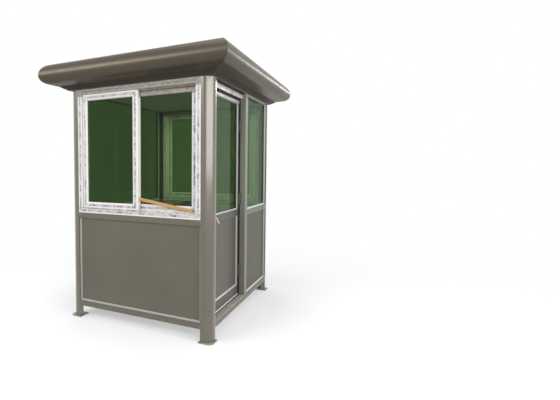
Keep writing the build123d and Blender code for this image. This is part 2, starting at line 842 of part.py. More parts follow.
front_section = Plane(origin=(0, -wall_y, 0), x_dir=(0, -1, 0), z_dir=(-1, 0, 0))
right_section = Plane(origin=(wall_x, 0, 0), x_dir=(1, 0, 0), z_dir=(0, -1, 0))
with BuildPart() as fascia_front:
    fascia_side(front_section, wall_x, (mitre(1, -1, -1, -1), mitre(-1, -1, 1, -1)))
write(fascia_front.part, "fascia_front")
with BuildPart() as fascia_back:
    mirror(fascia_front.part, about=Plane.XZ)
write(fascia_back.part, "fascia_back")
with BuildPart() as fascia_right:
    fascia_side(right_section, wall_y, (mitre(1, -1, 1, 1), mitre(1, 1, 1, -1)))
write(fascia_right.part, "fascia_right")
with BuildPart() as fascia_left:
    mirror(fascia_right.part, about=Plane.YZ)
write(fascia_left.part, "fascia_left")

# Stepped cornice under the fascia lip, fitted round the posts
with BuildPart() as cornice:
    for index in range(cornice_steps):
        reach = fascia_lip - index * cornice_step
        with BuildSketch(Plane.XY.offset(lip_height - (index + 1) * cornice_drop)):
            Rectangle(width + 2 * reach, depth + 2 * reach)
            RectangleRounded(width, depth, post_radius, mode=Mode.SUBTRACT)
        extrude(amount=cornice_drop)
write(cornice.part, "cornice")

# Roof frame: a perimeter ring and bearers, on uprights from the top beams
deck_under = roof_top - roof_sheet
ring_x = wall_x + fascia_lip
ring_y = wall_y + fascia_lip
ring_z = (deck_under - tube, deck_under)
bearer_pitch = 2 * (inner_y - tube) / (bearer_count - 1)
with BuildPart() as roof_frame:
    tube_x((-ring_x, ring_x), (-ring_y, -ring_y + tube), ring_z)
    tube_x((-ring_x, ring_x), (ring_y - tube, ring_y), ring_z)
    tube_y((-ring_x, -ring_x + tube), (-ring_y + tube, ring_y - tube), ring_z)
    tube_y((ring_x - tube, ring_x), (-ring_y + tube, ring_y - tube), ring_z)
    for index in range(bearer_count):
        bearer_y = -inner_y + tube + index * bearer_pitch
        bearer_span = (bearer_y - tube / 2, bearer_y + tube / 2)
        tube_x((-ring_x + tube, ring_x - tube), bearer_span, ring_z)
        for x in ((-wall_x, -inner_x), (inner_x, wall_x)):
            tube_z(x, bearer_span, (head_top, ring_z[0]))
write(roof_frame.part, "roof_frame")

with BuildPart() as roof_deck:
    block((-ring_x, ring_x), (-ring_y, ring_y), (deck_under, roof_top))
write(roof_deck.part, "roof_deck")

with BuildPart() as ceiling:
    block((-inner_x, inner_x), (-inner_y, inner_y), (window_head, window_head + ceiling_thickness))
write(ceiling.part, "ceiling")

# Working desk: folded sheet across the whole width opposite the door
desk_top_z = sill_top - desk_below_sill
desk_under = desk_top_z - desk_sheet
desk_back = -lining_x
desk_front = desk_back + desk_depth
desk_low = desk_top_z - desk_thickness
with BuildPart() as desk:
    with BuildSketch(Plane.XZ.offset(-lining_y)):
        with BuildLine():
            Polyline(
                (desk_back, desk_top_z),
                (desk_front, desk_top_z),
                (desk_front, desk_low),
                (desk_front - desk_return, desk_low),
                (desk_front - desk_return, desk_low + desk_sheet),
                (desk_front - desk_sheet, desk_low + desk_sheet),
                (desk_front - desk_sheet, desk_under),
                (desk_back, desk_under),
                close=True,
            )
        make_face()
    extrude(amount=2 * lining_y)
    nose_edges = desk.edges().filter_by(Axis.Y).group_by(Axis.X)[-1]
    fillet(nose_edges, radius=desk_sheet)
write(desk.part, "desk_top")

# Gusset brackets under the desk, between and beside the drawer and the tray
bracket_places = (
    -lining_y + bracket_margin,
    middle(tray_start + tray_width, drawer_start) - bracket_thickness / 2,
    lining_y - bracket_margin - bracket_thickness,
)
with BuildPart() as brackets:
    for start_y in bracket_places:
        with BuildSketch(Plane.XZ.offset(-start_y - bracket_thickness)):
            with BuildLine():
                Polyline(
                    (desk_back, desk_under),
                    (desk_back + bracket_reach, desk_under),
                    (desk_back + bracket_reach, desk_under - bracket_width),
                    (desk_back + bracket_width, desk_under - bracket_leg),
                    (desk_back, desk_under - bracket_leg),
                    close=True,
                )
            make_face()
        extrude(amount=bracket_thickness)
write(brackets.part, "desk_brackets")

# Hanging drawer case, open in front, with two runners on its floor
case_y = (drawer_start, drawer_start + drawer_width)
case_front = desk_front - desk_return - front_set_back
case_back = case_front - drawer_depth
case_low = desk_low - drawer_clearance - drawer_height - runner_height - drawer_sheet
case_floor = case_low + drawer_sheet
runner_top = case_floor + runner_height - runner_gap
with BuildPart() as drawer_case:
    block((case_back, case_front), case_y, (case_low, desk_under))
    with BuildSketch(Plane.YZ.offset(case_back + drawer_sheet)):
        with Locations((middle(*case_y), middle(case_floor, desk_under))):
            Rectangle(drawer_width - 2 * drawer_sheet, desk_under - case_floor)
    extrude(amount=drawer_depth, mode=Mode.SUBTRACT)
    for start_y in (case_y[0] + drawer_sheet, case_y[1] - drawer_sheet - runner_width):
        block(
            (case_back + drawer_sheet, case_front),
            (start_y, start_y + runner_width),
            (case_floor, runner_top),
        )
write(drawer_case.part, "drawer_case")

drawer_y = (case_y[0] + drawer_sheet + drawer_clearance, case_y[1] - drawer_sheet - drawer_clearance)
drawer_x = (case_back + drawer_sheet + drawer_clearance, case_front + drawer_clearance)
drawer_z = (case_floor + runner_height, desk_low - drawer_clearance)
with BuildPart() as drawer:
    block(drawer_x, drawer_y, drawer_z)
    block((drawer_x[1], drawer_x[1] + drawer_sheet), case_y, (case_low, drawer_z[1]))
    block(
        (drawer_x[1] + drawer_sheet, drawer_x[1] + drawer_sheet + drawer_pull_depth),
        case_y,
        (drawer_z[1] - drawer_sheet, drawer_z[1]),
    )
    with BuildSketch(Plane.XY.offset(drawer_z[0] + drawer_sheet)):
        with Locations((middle(*drawer_x), middle(*drawer_y))):
            Rectangle(
                drawer_x[1] - drawer_x[0] - 2 * drawer_sheet,
                drawer_y[1] - drawer_y[0] - 2 * drawer_sheet,
            )
    extrude(amount=drawer_height, mode=Mode.SUBTRACT)
write(drawer.part, "drawer")

# Keyboard frame: two hanger channels and a back plate, and the tray that slides in it
frame_y = (tray_start, tray_start + tray_width)
frame_front = case_front
frame_back = frame_front - tray_depth
frame_low = desk_under - tray_height
with BuildPart() as keyboard_frame:
    block((frame_back, frame_back + drawer_sheet), frame_y, (frame_low, desk_under))
    for side_y, way in ((frame_y[0], 1), (frame_y[1], -1)):
        with BuildSketch(Plane.YZ.offset(frame_back)):
            with BuildLine():
                Polyline(
                    (side_y, frame_low),
                    (side_y, desk_under),
                    (side_y + way * hanger_width, desk_under),
                    (side_y + way * hanger_width, desk_under - drawer_sheet),
                    (side_y + way * drawer_sheet, desk_under - drawer_sheet),
                    (side_y + way * drawer_sheet, frame_low + drawer_sheet),
                    (side_y + way * hanger_width, frame_low + drawer_sheet),
                    (side_y + way * hanger_width, frame_low),
                    close=True,
                )
            make_face()
        extrude(amount=tray_depth)
write(keyboard_frame.part, "keyboard_frame")

tray_y = (frame_y[0] + drawer_sheet + drawer_clearance, frame_y[1] - drawer_sheet - drawer_clearance)
tray_x = (frame_back + drawer_sheet + drawer_clearance, frame_front + drawer_clearance)
tray_low = frame_low + drawer_sheet + runner_gap
with BuildPart() as tray:
    block(tray_x, tray_y, (tray_low, tray_low + drawer_sheet))
    for start_y in (tray_y[0], tray_y[1] - drawer_sheet):
        block(tray_x, (start_y, start_y + drawer_sheet), (tray_low, tray_low + tray_side))
    block((tray_x[1], tray_x[1] + drawer_sheet), frame_y, (tray_low, tray_low + tray_lip))
write(tray.part, "keyboard_tray")

# Power socket on the wall under the desk and two junction boxes under the windows
with BuildPart() as power_socket:
    with BuildSketch(Plane.YZ.offset(-lining_x)):
        with Locations((socket_along, socket_height)):
            RectangleRounded(socket_side, socket_side, socket_corner)
    extrude(amount=socket_thickness)
    fillet(power_socket.faces().sort_by(Axis.X)[-1].edges(), radius=socket_corner / 2)
    with BuildSketch(Plane.YZ.offset(-lining_x + socket_thickness)):
        with Locations((socket_along, socket_height - socket_slot_drop)):
            with Locations((-socket_slot_pitch / 2, 0), (socket_slot_pitch / 2, 0)):
                Rectangle(socket_slot_width, socket_slot_height)
        with Locations((socket_along, socket_height + socket_slot_drop)):
            with Locations((-socket_slot_pitch / 2, 0), (socket_slot_pitch / 2, 0)):
                Rectangle(socket_slot_width, socket_slot_height)
    extrude(amount=-socket_slot_depth, mode=Mode.SUBTRACT)
write(power_socket.part, "power_socket")

box_x = (desk_front + box_from_desk, desk_front + box_from_desk + box_width)
box_z = (sill_bottom - box_below_sill - box_height, sill_bottom - box_below_sill)
with BuildPart() as wall_boxes:
    block(box_x, (-lining_y, -lining_y + box_thickness), box_z)
    block(box_x, (lining_y - box_thickness, lining_y), box_z)
    fillet(wall_boxes.edges().filter_by(Axis.Y), radius=box_corner)
write(wall_boxes.part, "wall_boxes")
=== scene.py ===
"""Looks of the security guard booth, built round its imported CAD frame."""

import logging
import math
from dataclasses import dataclass
from enum import Enum
from typing import Dict, Iterable, List, Sequence, Tuple, Union

import bmesh
import bpy
from mathutils import Matrix, Vector


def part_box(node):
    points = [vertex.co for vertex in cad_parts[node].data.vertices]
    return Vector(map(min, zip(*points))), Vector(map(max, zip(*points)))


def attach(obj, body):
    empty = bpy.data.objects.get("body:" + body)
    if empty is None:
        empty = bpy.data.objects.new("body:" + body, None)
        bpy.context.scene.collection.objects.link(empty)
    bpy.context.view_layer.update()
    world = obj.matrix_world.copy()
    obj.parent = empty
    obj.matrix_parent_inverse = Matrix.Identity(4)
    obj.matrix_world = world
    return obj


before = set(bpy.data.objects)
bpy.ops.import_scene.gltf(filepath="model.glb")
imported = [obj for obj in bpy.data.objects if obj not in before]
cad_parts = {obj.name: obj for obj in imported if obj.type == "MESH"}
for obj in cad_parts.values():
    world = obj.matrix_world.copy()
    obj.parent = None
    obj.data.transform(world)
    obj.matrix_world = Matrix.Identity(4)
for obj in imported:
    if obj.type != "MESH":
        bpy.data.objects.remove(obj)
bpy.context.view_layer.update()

logging.basicConfig(level=logging.INFO, format="%(message)s")
log = logging.getLogger("booth")

Point = Tuple[float, float, float]
Span = Tuple[float, float]
Colour = Tuple[float, float, float, float]
Socket = bpy.types.NodeSocket
Material = bpy.types.Material
Value = Union[float, str, Point, Colour, Socket]
Key = Union[int, str]
Inputs = Union[Dict[Key, Value], Sequence[Value]]

MM = 0.001
HALF_TURN = math.pi
QUARTER_TURN = math.pi / 2
SMOOTH_ANGLE = math.radians(35.0)
MERGE_DISTANCE = 1e-6
EVEN: Point = (1.0, 1.0, 1.0)
WHITE = "ffffff"

# Between these two lie most values of a noise.
NOISE_RANGE: Span = (0.3, 0.7)

# A Mix node takes its share at input 0 and its colours at 6 and 7, and gives their mix at output 2.
# A Map Range node takes its value, then the lowest and highest that go in, then those that come out.
COLOURS: Dict[str, Key] = {"output": 2, "data_type": "RGBA"}

# Least empty length, in metres, between two hinges, two sliding panes, and two walls of the booth.
HINGE_GAP = 0.2
PANE_GAP = 0.02
WALL_GAP = 1.0

# A screw head: its facets, its top's radius, and the rim, step, dome and recess as shares of its size.
SCREW_SIDES = 16
SCREW_TOP = 0.8
SCREW_RIM = 0.35
SCREW_STEP = 0.12
SCREW_DOME = 0.15
SCREW_RECESS = 0.6


class Body(Enum):
    """The CAD bodies that the scene's own pieces ride on."""

    BOOTH = "booth"
    DOOR = "door"


def to_linear(hex_code: str) -> Colour:
    """Turns an sRGB hex value into linear colour.

    Args:
        hex_code: six hex digits, such as "8a8577".

    Returns:
        Linear red, green, blue and an alpha of 1.
    """
    channels = [int(hex_code[i : i + 2], 16) / 255 for i in (0, 2, 4)]
    linear = [c / 12.92 if c <= 0.04045 else ((c + 0.055) / 1.055) ** 2.4 for c in channels]
    return (linear[0], linear[1], linear[2], 1.0)


def per_metre(size_mm: float) -> float:
    """Noise scale, in cycles a metre, for a feature of a real size in millimetres."""
    return 1.0 / (size_mm * MM)


def add_object(name: str, data: bpy.types.ID) -> bpy.types.Object:
    """Makes an object from its data and links it to the scene.

    Args:
        name: the object's name.
        data: its mesh, lamp or camera.

    Returns:
        The new object.
    """
    made = bpy.data.objects.new(name, data)
    bpy.context.scene.collection.objects.link(made)
    return made


class Shade:
    """The node tree of a material, or of the world, while it is put together."""

    def __init__(self, name: str, world: bool = False) -> None:
        """Starts an empty node tree.

        Args:
            name: the material's name, after the real finish.
            world: whether the tree is the world's.
        """
        self.owner = (bpy.data.worlds if world else bpy.data.materials).new(name)
        self.owner.use_nodes = True
        self.tree = self.owner.node_tree
        self.tree.nodes.clear()
        self.output = self.tree.nodes.new("ShaderNodeOutput" + ("World" if world else "Material"))

    def add(self, kind: str, inputs: Inputs = (), output: Key = 0, **settings: str) -> Socket:
        """Adds a node with its settings, values and links.

        Args:
            kind: the node's type, without "ShaderNode".
            inputs: its values in order, or by socket name or number. Each is a number, a vector, a hex
                colour, or the socket that feeds it.
            output: name or number of the output that is wanted.
            settings: properties of the node itself.

        Returns:
            That output's socket.
        """
        node = self.tree.nodes.new("ShaderNode" + kind)
        for key, value in settings.items():
            setattr(node, key, value)
        for key, value in inputs.items() if isinstance(inputs, dict) else enumerate(inputs):
            if isinstance(value, Socket):
                self.tree.links.new(value, node.inputs[key])
            else:
                node.inputs[key].default_value = to_linear(value) if isinstance(value, str) else value
        return node.outputs[output]

    def place(self, scale: Point = EVEN) -> Socket:
        """Object coordinates in metres.

        Args:
            scale: factor along each axis.

        Returns:
            The vector's socket.
        """
        coords = self.add("TexCoord", output="Object")
        if scale == EVEN:
            return coords
        return self.add("Mapping", {"Vector": coords, "Scale": scale})

    def along(self, axis: str) -> Socket:
        """Object coordinate along "X", "Y" or "Z", in metres."""
        return self.add("SeparateXYZ", (self.place(),), axis)

    def grain(self, size_mm: float, detail: float = 2.0, scale: Point = EVEN) -> Socket:
        """An uneven pattern whose features have a real size in millimetres, with octaves of detail."""
        values = {"Vector": self.place(scale), "Scale": per_metre(size_mm), "Detail": detail}
        return self.add("TexNoise", values)

    def end(self, shader: Socket) -> bpy.types.ID:
        """Joins the last shader to the output and returns the finished material or world."""
        self.tree.links.new(shader, self.output.inputs["Surface"])
        return self.owner


@dataclass(frozen=True)
class FlakePaint:
    """Sprayed metal-flake paint on steel sheet: a satin sheen over fine bright flakes.

    The flakes are about 0.05 mm, too fine for the render, so they are drawn 1.6 mm wide.
    """

    name: str
    base: str
    flake: str
    cloud: str
    roughness: float
    metallic: float
    dust_and_shade: str = "8f897b"
    gloss: float = 0.5
    coat: float = 0.3
    coat_roughness: float = 0.22
    flake_mm: float = 1.6
    cloud_mm: float = 420.0
    speck_mm: float = 14.0
    streak_mm: float = 60.0
    peel_mm: float = 5.0
    peel_depth_mm: float = 0.03
    dust_height: float = 0.35

    def make(self) -> Material:
        """Builds the paint, with dust that thins out above the feet.

        Returns:
            The finished material.
        """
        shade = Shade(self.name)
        flakes = shade.add("MapRange", (shade.grain(self.flake_mm), 0.5, 0.7, 0.0, 0.6))
        clouds = shade.add("MapRange", (shade.grain(self.cloud_mm, 3.0), 0.35, 0.7, 0.0, 0.7))
        tone = shade.add("Mix", {0: clouds, 6: self.base, 7: self.cloud}, **COLOURS)
        tone = shade.add("Mix", {0: flakes, 6: tone, 7: self.flake}, **COLOURS)
        low = shade.add("MapRange", (shade.along("Z"), 0.0, self.dust_height, 0.5, 0.0))
        specks = shade.add("MapRange", (shade.grain(self.speck_mm, 6.0), 0.45, 0.7, 0.0, 1.0))
        dust_and_shade_share = shade.add("Math", (low, specks), operation="MULTIPLY")
        tone = shade.add("Mix", {0: dust_and_shade_share, 6: tone, 7: self.dust_and_shade}, **COLOURS)
        streaks = shade.grain(self.streak_mm, 4.0, (1.0, 1.0, 0.12))
        dull = shade.add("MapRange", (streaks, *NOISE_RANGE, self.roughness - 0.02, self.roughness + 0.04))
        rough = shade.add("Math", (dull, dust_and_shade_share), operation="ADD")
        skin = shade.grain(self.peel_mm, 1.0)
        peel = shade.add("Bump", {"Height": skin, "Distance": self.peel_depth_mm * MM, "Strength": 0.5})
        return shade.end(shade.add("BsdfPrincipled", {
            "Base Color": tone, "Metallic": self.metallic, "Roughness": rough, "Normal": peel,
            "Specular IOR Level": self.gloss, "Coat Weight": self.coat,
            "Coat Roughness": self.coat_roughness,
        }))


@dataclass(frozen=True)
class TransitFilm:
    """Milky polyethylene film still stuck on the paint: silvery grey, creased, with faint marks in groups."""

    name: str
    base: str = "b6b1ae"
    crease: str = "a49f9c"
    mark: str = "8d8a90"
    roughness: float = 0.3
    crease_mm: float = 26.0
    crease_depth_mm: float = 0.35
    mark_mm: float = 8.0
    group_mm: float = 70.0

    def make(self) -> Material:
        """Builds the film, creased along its length.

        Returns:
            The finished material.
        """
        shade = Shade(self.name)
        creases = shade.grain(self.crease_mm, 5.0, (1.0, 0.3, 1.0))
        folds = shade.add("MapRange", (creases, 0.42, 0.62, 0.0, 1.0))
        tone = shade.add("Mix", {0: folds, 6: self.base, 7: self.crease}, **COLOURS)
        dots = shade.add("MapRange", (shade.grain(self.mark_mm, 1.0), 0.58, 0.64, 0.0, 1.0))
        groups = shade.add("MapRange", (shade.grain(self.group_mm, 1.0), 0.48, 0.56, 0.0, 0.7))
        marks = shade.add("Math", (dots, groups), operation="MULTIPLY")
        tone = shade.add("Mix", {0: marks, 6: tone, 7: self.mark}, **COLOURS)
        rough = shade.add("MapRange", (creases, *NOISE_RANGE, self.roughness - 0.08, self.roughness + 0.15))
        normal = shade.add(
            "Bump", {"Height": creases, "Distance": self.crease_depth_mm * MM, "Strength": 0.6}
        )
        return shade.end(shade.add("BsdfPrincipled", {
            "Base Color": tone, "Roughness": rough, "Normal": normal, "Coat Weight": 0.3,
            "Coat Roughness": 0.15,
        }))


@dataclass(frozen=True)
class HingeSteel:
    """Steel butt hinges: dark greased barrels, with plates sprayed along with the leaf.

    The barrels stand beyond a line in Y, where the plates end.
    """

    name: str
    barrel: str = "4b4941"
    # The plates take the door leaf's darker paint colour, which carries painted shade.
    plate: str = "575349"
    barrel_from: float = -0.0205
    roughness: float = 0.45
    grain_mm: float = 4.0
    grain_depth_mm: float = 0.05

    def make(self) -> Material:
        """Builds the steel, dark at the barrels and paint-coloured on the plates.

        Returns:
            The finished material.
        """
        shade = Shade(self.name)
        share = shade.add("MapRange", (shade.along("Y"), self.barrel_from - MM, self.barrel_from, 0.0, 1.0))
        grain = shade.grain(self.grain_mm, 3.0)
        tone = shade.add("Mix", {0: share, 6: self.plate, 7: self.barrel}, **COLOURS)
        rough = shade.add("MapRange", (grain, *NOISE_RANGE, self.roughness - 0.08, self.roughness + 0.1))
        normal = shade.add("Bump", {"Height": grain, "Distance": self.grain_depth_mm * MM})
        return shade.end(shade.add("BsdfPrincipled", {
            "Base Color": tone, "Metallic": 0.2, "Roughness": rough, "Normal": normal
        }))


@dataclass(frozen=True)
class SatinMetal:
    """Bare metal with a fine line grain, such as extruded aluminium or brushed stainless steel.

    The grain is about 0.1 mm apart and is drawn as coarse as it needs to show.
    """

    name: str
    base: str
    dark: str
    roughness: float
    grain: Point
    grain_mm: float = 2.5
    grain_depth_mm: float = 0.02
    cloud_mm: float = 160.0
    metallic: float = 1.0

    def adjust_tone(self, shade: Shade, tone: Socket) -> Socket:
        """Clouds the bare metal's tone a little."""
        clouds = shade.add("MapRange", (shade.grain(self.cloud_mm, 3.0), 0.35, 0.7, 0.0, 0.6))
        return shade.add("Mix", {0: clouds, 6: tone, 7: self.dark}, **COLOURS)

    def make(self) -> Material:
        """Builds the metal with its grain in colour, roughness and bump.

        Returns:
            The finished material.
        """
        shade = Shade(self.name)
        lines = shade.grain(self.grain_mm, 3.0, self.grain)
        share = shade.add("MapRange", (lines, 0.35, 0.7, 0.0, 0.6))
        tone = shade.add("Mix", {0: share, 6: self.base, 7: self.dark}, **COLOURS)
        rough = shade.add("MapRange", (lines, *NOISE_RANGE, self.roughness - 0.06, self.roughness + 0.1))
        normal = shade.add("Bump", {"Height": lines, "Distance": self.grain_depth_mm * MM})
        return shade.end(shade.add("BsdfPrincipled", {
            "Base Color": self.adjust_tone(shade, tone), "Metallic": self.metallic, "Roughness": rough,
            "Normal": normal,
        }))


@dataclass(frozen=True)
class BeadAluminium(SatinMetal):
    """Satin aluminium glazing bead: pale and evenly matt, with painted shade where it looks down.

    Its faces that look forward or back are greyer.
    """

    base: str = "c8c8c9"
    dark: str = "adadaf"
    roughness: float = 0.42
    grain: Point = EVEN
    metallic: float = 0.1
    # Colour of the faces that look down: painted shade.
    under: str = "6c6960"
    # Colour of the faces that look forward or back.
    front_back_grey: str = "9a9894"

    def adjust_tone(self, shade: Shade, tone: Socket) -> Socket:
        """Greys the faces that look forward or back, and darkens what looks down as painted shade.

        Args:
            shade: the material that is put together.
            tone: the clean metal's colour.

        Returns:
            The soiled colour's socket.
        """
        facing = shade.add("TexCoord", output="Normal")
        turned = shade.add("SeparateXYZ", (facing,)).node.outputs
        outward = shade.add("Math", (turned["Y"],), operation="ABSOLUTE")
        over = shade.add("MapRange", (outward, 0.35, 0.6, 0.0, 1.0))
        tone = shade.add("Mix", {0: over, 6: tone, 7: self.front_back_grey}, **COLOURS)
        # Faces that look down darken towards the under colour: painted shade.
        dull = shade.add("MapRange", (turned["Z"], -0.6, -0.3, 1.0, 0.0))
        return shade.add("Mix", {0: dull, 6: tone, 7: self.under}, **COLOURS)


@dataclass(frozen=True)
class WindowPlastic:
    """White extruded PVC under its clear transit film: soft gloss, with small marks along each rail.

    The marks stand for the film's printing. They are a plain scatter in short runs, blue-grey and brown.
    """

    name: str
    middle: Point = (0.0, 0.0, 1.637)
    half: Span = (0.6275, 0.5685)
    band: float = 0.011
    base: str = "e4e1da"
    film: str = "bfbec2"
    ink: str = "3f3f66"
    stain: str = "4c463d"
    crack: str = "a19c93"
    grime: str = "8b857b"
    roughness: float = 0.32
    mark_mm: float = 8.0
    run_mm: float = 75.0
    patch_mm: float = 60.0
    grime_mm: float = 18.0
    grimy: Span = (1.087, 1.104)
    # Above a set height the rails darken towards this brown-grey: painted shade of the eave, patchy with
    # specks.
    dust_and_shade: str = "71694f"
    eave_shade_from: float = 2.17
    eave_shade_share: float = 0.9
    wrinkle_mm: float = 30.0
    wrinkle_depth_mm: float = 0.25

    def from_centre_line(self, shade: Shade) -> Socket:
        """Distance from the line down the middle of the rails, in metres.

        Args:
            shade: the material that is put together.

        Returns:
            The distance's socket.
        """
        centred = shade.add("VectorMath", (shade.place(), self.middle), operation="SUBTRACT")
        apart = shade.add("SeparateXYZ", (centred,)).node.outputs
        beside, above = (shade.add("Math", (apart[axis],), operation="ABSOLUTE") for axis in ("X", "Z"))
        wide = shade.add("Math", (beside, self.half[0]), operation="SUBTRACT")
        tall = shade.add("Math", (above, self.half[1]), operation="SUBTRACT")
        past = shade.add("Math", (wide, tall), operation="MAXIMUM")
        return shade.add("Math", (past,), operation="ABSOLUTE")

    def make(self) -> Material:
        """Builds the plastic: film down the middle of the rails, with its marks in loose runs.

        The top rails carry painted shade of the eave.

        Returns:
            The finished material.
        """
        shade = Shade(self.name)
        off = self.from_centre_line(shade)
        strip = shade.add("MapRange", (off, self.band * 0.9, self.band * 1.5, 1.0, 0.0))
        worn = shade.add("MapRange", (shade.grain(self.patch_mm, 3.0), 0.38, 0.6, 0.5, 1.0))
        filmed = shade.add("Math", (strip, worn), operation="MULTIPLY")
        tone = shade.add("Mix", {0: filmed, 6: self.base, 7: self.film}, **COLOURS)
        height = shade.along("Z")
        specks = shade.grain(self.grime_mm, 5.0, (0.5, 1.0, 1.0))
        # Painted shade of the eave on the top rails, patchy with specks.
        under_roof = shade.add(
            "MapRange", (height, self.eave_shade_from - self.band, self.eave_shade_from, 0.0, self.eave_shade_share)
        )
        dust_and_shade_share = shade.add(
            "Math", (under_roof, shade.add("MapRange", (specks, 0.36, 0.6, 0.8, 1.0))), operation="MULTIPLY"
        )
        tone = shade.add("Mix", {0: dust_and_shade_share, 6: tone, 7: self.dust_and_shade}, **COLOURS)
        narrow = shade.add("MapRange", (off, self.band * 0.5, self.band, 1.0, 0.0))
        dots = shade.add("MapRange", (shade.grain(self.mark_mm, 1.0), 0.47, 0.56, 0.0, 1.0))
        runs = shade.add("MapRange", (shade.grain(self.run_mm, 1.0), 0.44, 0.54, 0.15, 1.0))
        marks = shade.add(
            "Math", (shade.add("Math", (dots, runs), operation="MULTIPLY"), narrow), operation="MULTIPLY"
        )
        hue = shade.add("MapRange", (shade.grain(3 * self.run_mm, 1.0), 0.45, 0.55, 0.0, 1.0))
        ink = shade.add("Mix", {0: hue, 6: self.ink, 7: self.stain}, **COLOURS)
        tone = shade.add("Mix", {0: marks, 6: tone, 7: ink}, **COLOURS)
        wrinkles = shade.grain(self.wrinkle_mm, 4.0, (1.0, 1.0, 0.5))
        creases = shade.add(
            "Math", (shade.add("MapRange", (wrinkles, 0.56, 0.66, 0.0, 0.6)), strip), operation="MULTIPLY"
        )
        tone = shade.add("Mix", {0: creases, 6: tone, 7: self.crack}, **COLOURS)
        over = shade.add("MapRange", (height, self.grimy[0] - self.band, self.grimy[0], 0.0, 1.0))
        under = shade.add("MapRange", (height, self.grimy[1] - self.band, self.grimy[1], 0.95, 0.0))
        dirt = shade.add(
            "Math", (over, shade.add("MapRange", (specks, 0.36, 0.6, 0.1, 1.0))), operation="MULTIPLY"
        )
        soiled = shade.add("Math", (under, dirt), operation="MULTIPLY")
        tone = shade.add("Mix", {0: soiled, 6: tone, 7: self.grime}, **COLOURS)
        rough = shade.add(
            "MapRange", (wrinkles, *NOISE_RANGE, self.roughness - 0.08, self.roughness + 0.12)
        )
        normal = shade.add(
            "Bump", {"Height": wrinkles, "Distance": self.wrinkle_depth_mm * MM, "Strength": 0.5}
        )
        return shade.end(shade.add("BsdfPrincipled", {
            "Base Color": tone, "Roughness": rough, "Normal": normal, "IOR": 1.5, "Coat Weight": 0.1
        }))


@dataclass(frozen=True)
class TintedGlass:
    """Green body-tinted float glass, 5 mm thick: deep green through, with clear reflections.

    Each pane has two faces, so a face passes the square root of what the pane passes.
    """

    name: str
    through: str = "a8b99b"
    cloud: str = "aebfa2"
    mirror: str = "d6e4da"
    lamps: str = "f2f5f2"
    roughness: float = 0.02
    waviness_mm: float = 380.0
    wave_depth_mm: float = 0.4
    cloud_mm: float = 700.0
    shine: float = 0.45
    index: float = 1.45

    def make(self) -> Material:
        """Builds the glass. Lamps pass it, so what stands behind it is lit.

        Returns:
            The finished material.
        """
        shade = Shade(self.name)
        waves = shade.grain(self.waviness_mm, 1.0)
        ripple = shade.add("Bump", {"Height": waves, "Distance": self.wave_depth_mm * MM, "Strength": 0.4})
        tint = shade.add(
            "Mix", {0: shade.grain(self.cloud_mm, 1.0), 6: self.through, 7: self.cloud}, **COLOURS
        )
        clear = shade.add("BsdfTransparent", {"Color": tint})
        mirror = {"Color": self.mirror, "Roughness": self.roughness, "Normal": ripple}
        gloss = shade.add("BsdfGlossy", mirror)
        fresnel = shade.add("Fresnel", {"IOR": self.index, "Normal": ripple})
        share = shade.add("Math", (fresnel, self.shine), operation="MULTIPLY")
        pane = shade.add("MixShader", (share, clear, gloss))
        path = shade.add("LightPath").node.outputs
        open_rays = shade.add("Math", (path["Is Shadow Ray"], path["Is Diffuse Ray"]), operation="MAXIMUM")
        lamps = shade.add("BsdfTransparent", {"Color": self.lamps})
        return shade.end(shade.add("MixShader", (open_rays, pane, lamps)))


@dataclass(frozen=True)
class PaintedSheet:
    """Powder-coated or melamine-faced sheet: matt to satin, with a fine orange peel and small scuffs."""

    name: str
    base: str
    scuff: str
    roughness: float = 0.5
    peel_mm: float = 4.0
    peel_depth_mm: float = 0.05
    metallic: float = 0.0
    cloud_mm: float = 250.0
    scuff_mm: float = 18.0

    def make(self) -> Material:
        """Builds the coat with sparse scuffs.

        Returns:
            The finished material.
        """
        shade = Shade(self.name)
        clouds = shade.add("MapRange", (shade.grain(self.cloud_mm, 4.0), 0.4, 0.7, 0.0, 0.35))
        scuffs = shade.add(
            "MapRange", (shade.grain(self.scuff_mm, 6.0, (1.0, 0.3, 1.0)), 0.62, 0.75, 0.0, 0.5)
        )
        tone = shade.add("Mix", {0: clouds, 6: self.base, 7: self.scuff}, **COLOURS)
        tone = shade.add("Mix", {0: scuffs, 6: tone, 7: self.scuff}, **COLOURS)
        peel = shade.grain(self.peel_mm, 2.0)
        rough = shade.add("MapRange", (peel, *NOISE_RANGE, self.roughness - 0.05, self.roughness + 0.08))
        normal = shade.add("Bump", {"Height": peel, "Distance": self.peel_depth_mm * MM, "Strength": 0.6})
        return shade.end(shade.add("BsdfPrincipled", {
            "Base Color": tone, "Roughness": rough, "Metallic": self.metallic, "Normal": normal
        }))


@dataclass(frozen=True)
class GalvanisedSteel:
    """Hot-dip galvanised tube: zinc crystals about 12 mm across, each a slightly other grey."""

    name: str
    base: str = "9a9d9f"
    bright: str = "b9bdc0"
    spangle_mm: float = 12.0
    spangle_depth_mm: float = 0.02

    def make(self) -> Material:
        """Builds the zinc with its spangle.

        Returns:
            The finished material.
        """
        shade = Shade(self.name)
        zinc = {"Vector": shade.place(), "Scale": per_metre(self.spangle_mm)}
        cells = shade.add("TexVoronoi", zinc, "Color")
        grey = shade.add("RGBToBW", (cells,))
        tone = shade.add("Mix", {0: grey, 6: self.base, 7: self.bright}, **COLOURS)
        rough = shade.add("MapRange", (grey, 0.0, 1.0, 0.35, 0.55))
        normal = shade.add("Bump", {"Height": grey, "Distance": self.spangle_depth_mm * MM})
        return shade.end(shade.add("BsdfPrincipled", {
            "Base Color": tone, "Metallic": 0.9, "Roughness": rough, "Normal": normal
        }))


